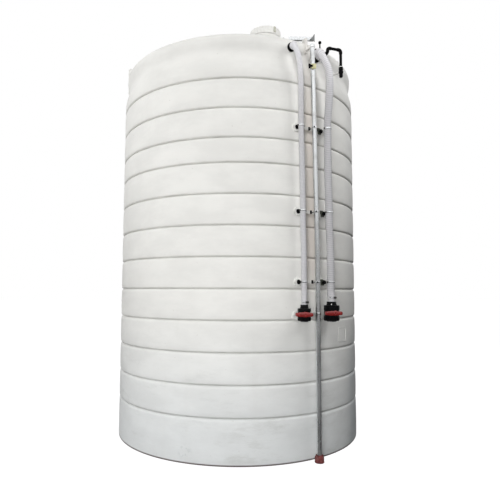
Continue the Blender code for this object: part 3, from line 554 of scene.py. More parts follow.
def post_axis(height):
    """A point on the post's axis."""
    if height <= POST_BEND:
        return around(POST_AZIMUTH, POST_REACH, height)
    bend, top = around(POST_AZIMUTH, POST_REACH, POST_BEND), around(POST_TOP_AZIMUTH, POST_REACH, POST_TOP)
    return bend.lerp(top, (height - POST_BEND) / (POST_TOP - POST_BEND))


def post_frame(height):
    """A frame on the post whose Z runs along it."""
    along = (post_axis(height + 0.001) - post_axis(height)).normalized()
    turn = Vector((0, 0, 1)).rotation_difference(along).to_matrix().to_4x4()
    return Matrix.Translation(post_axis(height)) @ turn


def post_front(height, facing):
    """A frame on the post's axis whose Z points level at an azimuth."""
    return Matrix.Translation(post_axis(height)) @ facing_out(facing)


def post_collar(height):
    """The steel band round the post."""
    bore = POST_RADIUS + SEAM
    return placed(washer(bore, bore + 0.0025, -0.010, 0.010, 0.001), post_frame(height))


def valve_axis(side, rise=0.0):
    """A point on a valve's upright axis, above its middle by the rise."""
    valve = VALVES[side]
    return around(valve["azimuth"], valve["reach"], valve["height"] + rise)


def inlet_frame(side):
    """The frame of a hose's bulkhead fitting on the rim."""
    azimuth, height, _ = LINES[side]["inlet"]
    return facing_out(azimuth, RIM_RADIUS - INLET_SET, height, INLET_TILT)


def hose_route(side):
    """The hose's centre line: out of its fitting, over the bend, down the wall and into its valve."""
    line = LINES[side]
    start = [inlet_frame(side) @ Vector((0.0, 0.0, INLET_SPIGOT + SEAM + step))
             for step in (0.0, 0.8 * line["hose"])]
    run = [around(azimuth, line["reach"], height) for azimuth, height in line["run"]]
    end = [valve_axis(side, line["end"]), valve_axis(side, VALVES[side]["half"] + SEAM)]
    return smooth_route([*start, *(around(*bend) for bend in line["bends"]), *run, *end])


def hose_place(side, height):
    """The point of a hose's centre line at a height."""
    route = hose_route(side)
    return Vector(route[np.abs(route[:, 2] - height).argmin()])


# finishes

def new_finish(name):
    """A material with its node tree and its shader."""
    material = bpy.data.materials.new(name)
    material.use_nodes = True
    return material, material.node_tree, material.node_tree.nodes["Principled BSDF"]


def feed(tree, node, sockets):
    """Gives each socket of a node a number or another node's output."""
    for key, value in sockets.items():
        if isinstance(value, bpy.types.NodeSocket):
            tree.links.new(value, node.inputs[key])
        else:
            node.inputs[key].default_value = value


def put(tree, kind, sockets=None, **values):
    """Adds a node with its settings and what its sockets get."""
    node = tree.nodes.new(kind)
    for key, value in values.items():
        setattr(node, key, value)
    feed(tree, node, sockets or {})
    return node.outputs


def coordinates(tree, stretch=(1.0, 1.0, 1.0)):
    """The object's own coordinates, stretched by a Mapping node."""
    where = put(tree, "ShaderNodeTexCoord")["Object"]
    return put(tree, "ShaderNodeMapping", {"Vector": where, "Scale": stretch})["Vector"]


def noise(tree, scale, detail=3.0, stretch=(1.0, 1.0, 1.0), roughness=0.55):
    """Fractal noise over the object."""
    return put(tree, "ShaderNodeTexNoise", {"Vector": coordinates(tree, stretch), "Scale": scale,
                                            "Detail": detail, "Roughness": roughness})["Fac"]


def spread(tree, value, low, high, start=0.0, stop=1.0):
    """A value between two limits, taken smoothly to another two."""
    sockets = {"Value": value, "From Min": low, "From Max": high, "To Min": start, "To Max": stop}
    return put(tree, "ShaderNodeMapRange", sockets, interpolation_type="SMOOTHSTEP")["Result"]


def maths(tree, operation, first, second=0.0):
    """One sum of two values."""
    return put(tree, "ShaderNodeMath", {0: first, 1: second}, operation=operation)[0]


def times(tree, first, *others):
    """The product of several values."""
    for other in others:
        first = maths(tree, "MULTIPLY", first, other)
    return first


def vector_maths(tree, operation, first, second):
    """A number worked out from two vectors."""
    return put(tree, "ShaderNodeVectorMath", {0: first, 1: second}, operation=operation)["Value"]


def scaled(tree, colour, factor):
    """A colour times a value."""
    return put(tree, "ShaderNodeVectorMath", {0: colour, "Scale": factor}, operation="SCALE")["Vector"]


def blend(tree, share, first, second):
    """Two colours mixed by a share."""
    first, second = (colour if isinstance(colour, bpy.types.NodeSocket) else (*colour, 1.0)
                     for colour in (first, second))
    return put(tree, "ShaderNodeMix", {0: share, 6: first, 7: second}, data_type="RGBA")[2]


def xyz(tree):
    """The X, Y and Z of the object's own coordinates."""
    return put(tree, "ShaderNodeSeparateXYZ", {"Vector": coordinates(tree)})


def shade_of(tree):
    """The number that a piece keeps at each of its points."""
    return put(tree, "ShaderNodeAttribute", attribute_name="shade")["Fac"]


def bump(tree, height, distance, strength):
    """The surface's normal, tipped as if the surface were raised by a height."""
    sockets = {"Height": height, "Distance": distance, "Strength": strength}
    return put(tree, "ShaderNodeBump", sockets)["Normal"]


def tinted(colour, factor):
    """A colour times a factor."""
    return tuple(min(1.0, channel * factor) for channel in colour)


def polyethylene(name, soil_and_shade_share):
    """Moulded polyethylene: a painted cool shade towards the floor, with mottling, faint runs, a painted warm
    reflection and shade beside the post, scuffs, wear, specks, soiling and painted shade in the grooves, a
    painted contact shadow along the foot and painted shade low on the right, each laid on by its own share."""
    material, tree, shader = new_finish(name)
    along, back, rise = xyz(tree)
    patches = spread(tree, noise(tree, 5.0, 4.0), 0.30, 0.75, 0.45, 1.0)
    # painted warm reflection and shade on the wall beside the post
    blotch = vector_maths(tree, "DISTANCE", coordinates(tree, (1.0, 1.0, 0.0)), around(*POST_SHADE_PLACE))
    scuff = vector_maths(tree, "DISTANCE", coordinates(tree), around(*SCUFF_PLACE))
    shares = {
        "runs": times(tree, spread(tree, noise(tree, 1.0, 4.0, (6.0, 6.0, 0.35)), 0.50, 0.85), 0.12),
        "blotch": times(tree, spread(tree, blotch, 0.030, 0.110, 0.80, 0.0), spread(tree, rise, 1.2, 1.9),
                       spread(tree, rise, 3.0, 3.7, 1.0, 0.35)),
        "scuff": times(tree, spread(tree, scuff, 0.035, 0.085, 0.35, 0.0),
                       spread(tree, noise(tree, 26.0, 2.0), 0.50, 0.58)),
        "wear": times(tree, spread(tree, noise(tree, 2.6, 7.0, (1.0, 1.0, 3.4), 0.70), 0.50, 0.72),
                      spread(tree, rise, 0.15, 1.4, 0.50, 0.06)),
        "specks": times(tree, spread(tree, noise(tree, 46.0, 2.0), 0.735, 0.80), 0.5),
        # soiling and painted shade in the grooves, from each point's shade attribute
        "soil_and_shade": times(tree, shade_of(tree), patches, soil_and_shade_share),
        # painted contact shadow: a dark line along the wall's foot
        "foot": spread(tree, rise, 0.008, 0.020, 0.92, 0.0),
        # painted shade low on the right of the wall, fading towards the back
        "painted_shade_low_right": times(tree, spread(tree, rise, 0.60, 1.30, 0.58, 0.12), spread(tree, along, 1.02, 1.17),
                      patches, spread(tree, back, -0.30, 0.20, 1.0, 0.0)),
    }
    # painted cool shade: the wall turns cooler and darker towards the floor
    colour = blend(tree, spread(tree, rise, 0.0, 1.5), PAINTED_COOL_SHADE, settings("tank_colours").shell)
    mottle = spread(tree, noise(tree, 2.2, 5.0, (1.0, 1.0, 2.2), 0.62), 0.33, 0.68, 0.95, 1.03)
    colour = scaled(tree, colour, mottle)
    for kind, tint in DIRT_AND_SHADE_TINTS.items():
        colour = blend(tree, shares[kind], colour, tint)
    peel = times(tree, noise(tree, 160.0, 2.0), 0.12)
    feed(tree, shader, {
        "Base Color": colour,
        "Roughness": spread(tree, noise(tree, 9.0, 3.0), 0.3, 0.7, 0.40, 0.52),
        "Normal": bump(tree, maths(tree, "ADD", noise(tree, 2.6, 2.0), peel), 0.006, 0.6),
        "Specular IOR Level": 0.30,
    })
    return material


def moulded(name, colour, roughness, dust, gloss=0.35):
    """Moulded plastic: slight colour change, dust in its noise and a fine grain."""
    material, tree, shader = new_finish(name)
    tone = spread(tree, noise(tree, 14.0, 3.0), 0.3, 0.7)
    mixed = blend(tree, tone, tinted(colour, 0.82), tinted(colour, 1.15))
    film = times(tree, spread(tree, noise(tree, 38.0, 4.0), 0.50, 0.78), dust)
    feed(tree, shader, {
        "Base Color": blend(tree, film, mixed, DUST_TINT),
        "Roughness": spread(tree, noise(tree, 30.0, 3.0), 0.3, 0.7, roughness - 0.05, roughness + 0.10),
        "Normal": bump(tree, noise(tree, 420.0, 2.0), 0.0004, 0.5),
        "Specular IOR Level": gloss,
    })
    return material


def metal(name, colour, roughness, grain, blotch):
    """Bare metal: streaks drawn out along the piece by the grain, dull stains and fine scratches."""
    material, tree, shader = new_finish(name)
    stretch = (1.0, 1.0, grain)
    streaks = spread(tree, noise(tree, 60.0, 3.0, stretch), 0.3, 0.7)
    mixed = blend(tree, streaks, tinted(colour, 0.86), tinted(colour, 1.06))
    dull = times(tree, spread(tree, noise(tree, 7.0, 5.0), 0.48, 0.75), blotch)
    drawn = spread(tree, streaks, 0.0, 1.0, roughness - 0.05, roughness + 0.05)
    feed(tree, shader, {
        "Base Color": blend(tree, dull, mixed, DULL_TINT),
        "Roughness": maths(tree, "ADD", drawn, times(tree, dull, 0.35)),
        "Normal": bump(tree, noise(tree, 240.0, 2.0, stretch), 0.0002, 0.5),
        "Metallic": 1.0,
    })
    return material


def hose_finish(name, depth):
    """Milky clear hose: the shade tells the wire's spiral; painted shade by the given share darkens it below,
    and a painted highlight brightens it near its top.
    """
    material, tree, shader = new_finish(name)
    colour = settings("tank_colours").hose
    mixed = blend(tree, spread(tree, shade_of(tree), 0.35, 0.95), colour, tinted(colour, 0.78))
    haze = times(tree, spread(tree, noise(tree, 3.0, 2.0, (1.0, 1.0, 0.3)), 0.30, 0.75), 0.30)
    mixed = blend(tree, haze, mixed, (0.67, 0.68, 0.71))
    feed(tree, shader, {
        # painted shade below, brightening to a painted highlight near the top
        "Base Color": scaled(tree, mixed, spread(tree, xyz(tree)["Z"], 3.05, 3.65, depth, 1.16)),
        "Roughness": spread(tree, noise(tree, 22.0, 3.0), 0.3, 0.7, 0.30, 0.42),
        "Transmission Weight": 0.12, "Specular IOR Level": 0.35, "IOR": 1.40,
    })
    return material


def primer(name, colour):
    """Red-brown primer with rust patches, dust and a rough grain."""
    material, tree, shader = new_finish(name)
    patches = spread(tree, noise(tree, 24.0, 5.0), 0.42, 0.62)
    dusty = times(tree, spread(tree, noise(tree, 60.0, 4.0), 0.5, 0.8), 0.4)
    rusty = blend(tree, patches, colour, (0.085, 0.021, 0.022))
    feed(tree, shader, {
        "Base Color": blend(tree, dusty, rusty, (0.34, 0.24, 0.22)),
        "Roughness": spread(tree, patches, 0.0, 1.0, 0.55, 0.80),
        "Normal": bump(tree, noise(tree, 90.0, 5.0), 0.0012, 0.7),
    })
    return material


def finish(name):
    """A finish by its name, made once."""
    title = f"{name}_look"
    known = bpy.data.materials.get(title)
    if known:
        return known
    tint = settings("tank_colours")
    maker, *values = {
        # the number is the share of soiling and painted shade in the grooves; the roof gets none
        "polyethylene": (polyethylene, 0.42),
        "roof_polyethylene": (polyethylene, 0.0),
        "black_plastic": (moulded, tint.black, 0.34, 0.008, 0.09),
        "black_knob": (moulded, tinted(tint.black, 0.7), 0.45, 0.008, 0.08),
        "red_plastic": (moulded, tint.red, 0.22, 0.005, 0.85),
        "white_rubber": (moulded, (0.78, 0.78, 0.75), 0.55, 0.20),
        "grey_plastic": (moulded, (0.55, 0.55, 0.47), 0.50, 0.10),
        "clear_yellow": (moulded, tint.clip, 0.35, 0.15),
        "pale_strip": (moulded, (0.70, 0.69, 0.66), 0.42, 0.15),
        "dark_green": (moulded, (0.045, 0.050, 0.038), 0.50, 0.12, 0.2),
        "tube_steel": (metal, tint.steel, 0.26, 0.04, 0.30),
        # a darker copy of the stay's steel, as painted shade under the stay
        "stay_steel": (metal, (0.30, 0.31, 0.31), 0.38, 0.3, 0.30),
        "band_steel": (metal, tinted(tint.steel, 1.12), 0.20, 3.0, 0.10),
        "dark_steel": (metal, (0.10, 0.10, 0.095), 0.42, 1.0, 0.35),
        # how dark the hose's painted shade makes it below, up to a painted highlight near its top
        "left_hose": (hose_finish, 0.90),
        "right_hose": (hose_finish, 0.80),
        "primer_red": (primer, tint.cap),
    }[name]
    return maker(title, *values)


# operators

class TANK_OT_stage(bpy.types.Operator):
    """Makes the camera, the pale floor and the soft studio light"""

    bl_idname = "tank.stage"
    bl_label = "Stage"

    # each lamp: azimuth and reach from the tank's axis, height, strength, width, and the height it faces
    LAMPS = {
        "front_low": (-8.0, 4.5, 0.9, 0.36, 1.8, 2.0),
        "front_far": (-10.0, 10.0, 1.5, 3.62, 4.0, 2.2),
        "left_high": (-75.0, 4.5, 4.5, 0.39, 1.8, 2.0),
        "right_top": (60.0, 4.4, 5.4, 0.74, 2.0, 3.2),
        "right_far": (80.0, 6.0, 8.0, 0.31, 3.0, 3.6),
        "crown": (0.0, 6.0, 8.0, 1.85, 3.0, 4.2),
        "back": (172.0, 9.0, 4.0, 3.20, 4.0, 2.2),
    }
    # the world's soft glows on dull surfaces: azimuth and strength
    GLOWS = ((-115.0, 1.22), (155.0, 0.15))
    GLOSS_FRONT = -10.0
    FLOOR_REACH = 60.0

    def execute(self, context):
        self.make_camera(context)
        self.make_floor(context)
        for name, lamp in self.LAMPS.items():
            self.make_lamp(context, name, *lamp)
        context.scene.world = self.make_world()
        context.scene.view_settings.view_transform = "Standard"
        return {"FINISHED"}

    def make_camera(self, context):
        """The photograph's camera, beside the tank's axis at eye height."""
        stage = settings("tank_stage")
        lens = bpy.data.cameras.new("camera")
        lens.lens = stage.lens
        lens.shift_x, lens.shift_y = stage.shift
        camera = bpy.data.objects.new("camera", lens)
        camera.matrix_world = (Matrix.Translation((0.0, -stage.eye_distance, stage.eye_height))
                               @ Matrix.Rotation(pi / 2 + stage.tilt, 4, "X")
                               @ Matrix.Rotation(stage.roll, 4, "Z"))
        context.scene.collection.objects.link(camera)
        context.scene.camera = camera

    def make_floor(self, context):
        """A wide pale floor that lights nothing from below."""
        mesh = bpy.data.meshes.new("floor")
        corners = [(x * self.FLOOR_REACH, y * self.FLOOR_REACH, 0)
                   for x, y in ((-1, -1), (1, -1), (1, 1), (-1, 1))]
        mesh.from_pydata(corners, [], [(0, 1, 2, 3)])
        material, tree, shader = new_finish("floor")
        shade = spread(tree, noise(tree, 0.8, 3.0), 0.3, 0.7)
        feed(tree, shader, {"Base Color": blend(tree, shade, (0.14, 0.14, 0.14), (0.18, 0.18, 0.18)),
                            "Roughness": 0.9, "Emission Color": (1.0, 1.0, 1.0, 1.0),
                            "Emission Strength": 0.92})
        mesh.materials.append(material)
        floor = bpy.data.objects.new("floor", mesh)
        context.scene.collection.objects.link(floor)
        floor.visible_diffuse = False
        floor.visible_glossy = False

    def make_lamp(self, context, name, azimuth, reach, height, strength, width, aim):
        """A square lamp that faces the tank and doesn't show itself."""
        light = bpy.data.lights.new(name, "AREA")
        light.size = width
        light.energy = strength * settings("tank_stage").lamp_power
        lamp = bpy.data.objects.new(name, light)
        place = around(azimuth, reach, height)
        towards = Vector((0.0, 0.0, aim)) - place
        lamp.matrix_world = Matrix.Translation(place) @ towards.to_track_quat("-Z", "Y").to_matrix().to_4x4()
        lamp.visible_camera = False
        lamp.visible_glossy = False
        context.scene.collection.objects.link(lamp)

    def make_world(self):
        """White behind the tank, soft glows on dull surfaces; in gloss a bright sky over dark ground."""
        world = bpy.data.worlds.new("studio")
        world.use_nodes = True
        tree = world.node_tree
        ray = put(tree, "ShaderNodeLightPath")
        towards = put(tree, "ShaderNodeTexCoord")["Generated"]
        total = 0.0
        for azimuth, strength in self.GLOWS:
            facing = vector_maths(tree, "DOT_PRODUCT", towards, around(azimuth, 1.0, 0.0))
            lobe = maths(tree, "POWER", maths(tree, "MAXIMUM", facing, 0.0), 2.0)
            total = maths(tree, "ADD", total, times(tree, lobe, strength))
        rise = put(tree, "ShaderNodeSeparateXYZ", {"Vector": towards})["Z"]
        front = vector_maths(tree, "DOT_PRODUCT", towards, around(self.GLOSS_FRONT, 1.0, 0.0))
        gloss = times(tree, spread(tree, rise, -0.20, 0.48, 0.12, 1.35),
                      spread(tree, front, -0.2, 1.0, 0.64, 1.0))
        light = put(tree, "ShaderNodeMix", {0: ray["Is Diffuse Ray"], 2: gloss, 3: total})[0]
        light = put(tree, "ShaderNodeMix", {0: ray["Is Camera Ray"], 2: light, 3: 1.0})[0]
        feed(tree, tree.nodes["Background"], {"Strength": light, "Color": (1.0, 1.0, 1.0, 1.0)})
        return world


class TANK_OT_shell(bpy.types.Operator):
    """Makes the grooved wall with its floor, the roof with the manway's hole and the moulded details"""

    bl_idname = "tank.shell"
    bl_label = "Shell"

    def execute(self, context):
        self.make_wall()
        self.make_roof()
        self.make_lugs()
        self.make_panel()
        return {"FINISHED"}

    def make_wall(self):
        """The wall: its profile turned round, up outside and then down inside with every second row."""
        thickness = settings("tank_shell").wall_thickness
        outer = wall_profile()
        inner = inward(outer[3::2], thickness)
        inner = np.concatenate([[[0.0, thickness], [0.5, thickness]], inner[inner[:, 1] > 2 * thickness],
                                [[RIM_RADIUS - thickness, WALL_TOP]]])
        grid = revolve(np.concatenate([outer, inner[::-1]]), SHELL_SIDES)
        walls = [f"wall_segment_{index:02d}" for index in range(1, 11)]
        # the shade attribute holds the soiling and painted shade in and beside the grooves
        make_piece("tank_wall", [grid], "polyethylene", ["tank_floor", *walls],
                   shade=groove_soil_and_shade(grid))

    def make_roof(self):
        """The roof: its profile turned round, in to the manway's hole and back out underneath."""
        thickness = settings("tank_shell").wall_thickness
        outer = roof_profile()
        inner = inward(outer, thickness)
        inner[0, 1] = outer[0, 1]
        top = crown_top()
        rows = [revolve(outer, SHELL_SIDES), crown_flat(top), crown_flat(top - thickness)[::-1],
                revolve(inner[::-1], SHELL_SIDES)]
        roofs = [f"roof_segment_{index}" for index in range(1, 6)]
        make_piece("tank_roof", [closed(np.concatenate(rows))], "roof_polyethylene",
                   [*roofs, "roof_crown"])

    def make_lugs(self):
        """A lug: a bar up the rim whose width narrows evenly towards its rounded top."""
        height, width, depth = np.transpose(LUG_ROWS)
        path = np.stack([0 * height, height, 0 * height], axis=-1)
        grid = capped(carry(changing_section(width, depth, 0.28, steps=5), path, (1.0, 0.0, 0.0)))
        for index, azimuth in enumerate(LUG_AZIMUTHS, 1):
            make_piece(f"rim_lug_{index}", [grid], "roof_polyethylene", [f"lifting_lug_{index}"],
                       place=facing_out(azimuth, RIM_RADIUS - LUG_INSET))

    def make_panel(self):
        """The moulded frame: an elliptical strip, centre + a cos t inwards + b sin t outwards, that
        follows a rounded rectangle on the wall."""
        outline = rounded_rectangle(*PANEL_SIZE, PANEL_BEVEL, steps=4)
        radius = settings("tank_shell").wall_radius
        angle = radians(PANEL_AZIMUTH) + outline[:, 0] / radius
        out = np.stack([np.sin(angle), -np.cos(angle), 0 * angle], axis=-1)
        path = out * (radius - 0.0015)
        path[:, 2] = PANEL_HEIGHT + outline[:, 1]
        tangent = unit(np.gradient(np.concatenate([path[-1:], path, path[:1]]), axis=0)[1:-1])
        inwards = np.cross(out, tangent)
        turn = np.linspace(0.0, 2 * pi, 8, endpoint=False)[:, None]
        width, depth = PANEL_STRIP
        strip = width * np.cos(turn) * inwards[:, None] + depth * np.sin(turn) * out[:, None]
        grid = closed(path[:, None] + strip)
        # soiling and painted shade darken the strip through its shade attribute
        make_piece("moulded_frame", [grid], "polyethylene", shade=np.full(grid.shape[:2], 0.8))


class TANK_OT_manway(bpy.types.Operator):
    """Makes the manway's neck, its hinged lid and the hinge"""

    bl_idname = "tank.manway"
    bl_label = "Manway"

    def execute(self, context):
        middle, hinge = upright((*MANWAY, 0.0)), upright((MANWAY[0] + HINGE_REACH, MANWAY[1], LID_BOTTOM))
        self.make_neck(middle)
        self.make_lid(middle, hinge)
        self.make_hinge(hinge)
        return {"FINISHED"}

    def make_neck(self, middle):
        """The neck, one profile turned round: foot, ridge, collar under the lid, thread and rim."""
        low, top, neck, bore = crown_top() + SEAM, NECK_TOP, NECK_RADIUS, NECK_BORE
        foot = [(bore, low), (NECK_FOOT - 0.002, low), (NECK_FOOT, low + 0.003), (NECK_FOOT, low + 0.009),
                (NECK_FOOT - 0.003, low + 0.012), (neck + 0.006, low + 0.013), (neck, low + 0.020)]
        ridge = [(neck + lift, NECK_RIDGE + rise) for lift, rise in
                 ((0.0, -0.004), (0.004, 0.0), (0.005, 0.005), (0.004, 0.010), (0.0, 0.014))]
        collar = [(neck + lift, height) for lift, height in NECK_COLLAR]
        thread = [(neck + lift, height + rise) for height in np.arange(*THREAD_SPAN, THREAD_PITCH)
                  for lift, rise in ((0.0, 0.0), (0.003, 0.003), (0.003, 0.006), (0.0, 0.009))]
        rim = [(neck, top - 0.002), (neck - 0.002, top), (bore + 0.002, top), (bore, top - 0.002)]
        profile = foot + ridge + collar + thread + rim
        make_piece("neck", [closed(revolve(profile, 96))], "roof_polyethylene", ["manway_neck"],
                   place=middle)

    def make_lid(self, middle, hinge):
        """The lid: a shallow cap turned round, with grip notches in its skirt, and the hinge's knuckle."""
        skirt, low, rim, under = LID_RADIUS, LID_BOTTOM, LID_RIM, LID_UNDER
        outer = [(0.0, LID_TOP), (0.096, LID_TOP), (0.106, LID_TOP - 0.001), (0.114, rim),
                 (0.156, rim - 0.001), (0.164, rim - 0.003), (0.168, rim - 0.007), (skirt, rim - 0.014),
                 (skirt, low + 0.014), (skirt, low + 0.010), (skirt, low + 0.002), (skirt - 0.002, low)]
        inner = [(LID_BORE + 0.0005, low), (LID_BORE, low + 0.002), (LID_BORE, under - 0.003),
                 (0.1600, under), (0.0, under)]
        notches = [0.0] * 7 + [LID_NOTCH] * 2 + [0.0] * (3 + len(inner))
        cap = placed(revolve(outer + inner, 240, notches, LID_NOTCHES), middle)
        half = KNUCKLE_WIDTH / 2
        knuckle = placed(washer(HINGE_PIN + SEAM, KNUCKLE_RADIUS, -half, half, 0.0015),
                         hinge @ Matrix.Rotation(pi / 2, 4, "X"))
        tab = rounded_box((skirt - HINGE_REACH - 0.003, -half, 0.0), (-0.007, half, 0.014), 0.002)
        make_piece("lid_cap", [cap, knuckle, placed(tab, hinge)], "roof_polyethylene",
                   ["manway_lid"], "lid")
        latch = rounded_box((-0.013, -0.030, -0.004), (0.013, 0.030, 0.008), 0.003)
        make_piece("lid_latch", [latch], "grey_plastic", body="lid",
                   place=middle @ facing_out(LATCH_AZIMUTH, skirt, low + LATCH_RISE))

    def make_hinge(self, hinge):
        """The hinge's bracket on the neck, with two ears and the pin."""
        knuckle, start = KNUCKLE_RADIUS, NECK_RADIUS - HINGE_REACH - 0.004
        parts = [rounded_box((start, -0.034, -0.050), (knuckle, 0.034, -0.022), 0.003)]
        parts += [rounded_box((-knuckle, side - 0.004, -0.030), (knuckle, side + 0.004, knuckle), 0.002)
                  for side in (-0.030, 0.030)]
        pin = placed(cylinder(HINGE_PIN, -0.038, 0.038, 0.001), Matrix.Rotation(pi / 2, 4, "X"))
        make_piece("lid_hinge", [*parts, pin], "dark_steel", ["manway_hinge_bracket"], place=hinge)


class TANK_OT_hoses(bpy.types.Operator):
    """Makes both bulkhead fittings, the two clear hoses and the clamps at their lower ends"""

    bl_idname = "tank.hoses"
    bl_label = "Hoses"

    def execute(self, context):
        for side in LINES:
            self.make_inlet(side)
            self.make_hose(side)
            self.make_clamp(side)
        return {"FINISHED"}

    def make_inlet(self, side):
        """One profile turned round: a black flange, a notched nut and the spigot in its middle."""
        flange, hose = LINES[side]["inlet"][2], LINES[side]["hose"]
        nut = 0.82 * flange
        profile = [(0.0, -0.020), (flange, -0.020), (flange, 0.006), (flange - 0.004, 0.010),
                   (nut + 0.001, 0.011), (nut, 0.012), (nut, 0.023), (nut - 0.003, 0.026),
                   (hose + 0.006, 0.026), (hose + 0.004, 0.028), (hose + 0.004, 0.033),
                   (hose + 0.003, INLET_SPIGOT), (0.0, INLET_SPIGOT)]
        notches = [0.0] * 4 + [0.003] * 4 + [0.0] * 5
        make_piece(f"{side}_bulkhead", [revolve(profile, 96, notches, count=8)], "black_plastic",
                   [f"{side}_inlet_fitting"], place=inlet_frame(side))

    def make_hose(self, side):
        """The hose: radius r + h c(s / p - a / 2 pi), c being a sharpened cosine along the spiral.

        It is s along the path and a round it, with the wire's pitch p and rib height h.
        """
        line, hose = LINES[side], settings("tank_hoses")
        sides = line["sides"]
        path, along = respaced(hose_route(side), line["pitch"] / hose.rows_per_turn)
        angle = np.linspace(0.0, 2 * pi, sides, endpoint=False)
        turns = along[:, None] / line["pitch"] - angle / (2 * pi)
        wire = (0.5 + 0.5 * np.cos(2 * pi * turns)) ** 2
        fitting_share, reach = HOSE_FLARE
        flare = (fitting_share * line["inlet"][2] - line["hose"]) * np.exp(-(along / reach) ** 2)
        radius = line["hose"] - hose.rib_height * (1 - wire) + flare[:, None]
        across = facing_out(POST_AZIMUTH).col[0].xyz
        outer = carry(radius[..., None] * circle(1.0, sides), path, across)
        inner = carry(circle(line["hose"] - hose.wall, sides), path[::BORE_STEP], across)[::-1]
        shade = np.concatenate([wire, np.zeros((len(inner), sides))])
        make_piece(f"{side}_clear_hose", [closed(np.concatenate([outer, inner]))], f"{side}_hose",
                   [f"{side}_hose"], shade=closed(shade), crease=70.0)

    def make_clamp(self, side):
        """The worm clamp above a valve: a thin band with raised edges, the screw's housing and head."""
        radius, height = LINES[side]["hose"], LINES[side]["clamp"]
        place = upright(hose_place(side, height)) @ Matrix.Rotation(radians(POST_AZIMUTH), 4, "Z")
        band = washer(radius - 0.0005, radius + 0.0016, -0.006, 0.006, 0.0007, 40)
        edges = [washer(radius, radius + 0.0024, low, low + 0.002, 0.0008, 40) for low in (-0.006, 0.004)]
        make_piece(f"{side}_clamp_band", [band, *edges], "band_steel", place=place)
        start = -0.16 * radius
        box = rounded_box((start, -radius - 0.007, -0.009), (start + 0.020, -0.5 * radius, 0.009), 0.002)
        screw = placed(cylinder(0.0095, -0.008, 0.008, 0.0015),
                       upright((start + 0.026, -0.85 * radius, 0.0)) @ Matrix.Rotation(pi / 2, 4, "Y"))
        make_piece(f"{side}_clamp_screw", [box, screw], "dark_steel", place=place)


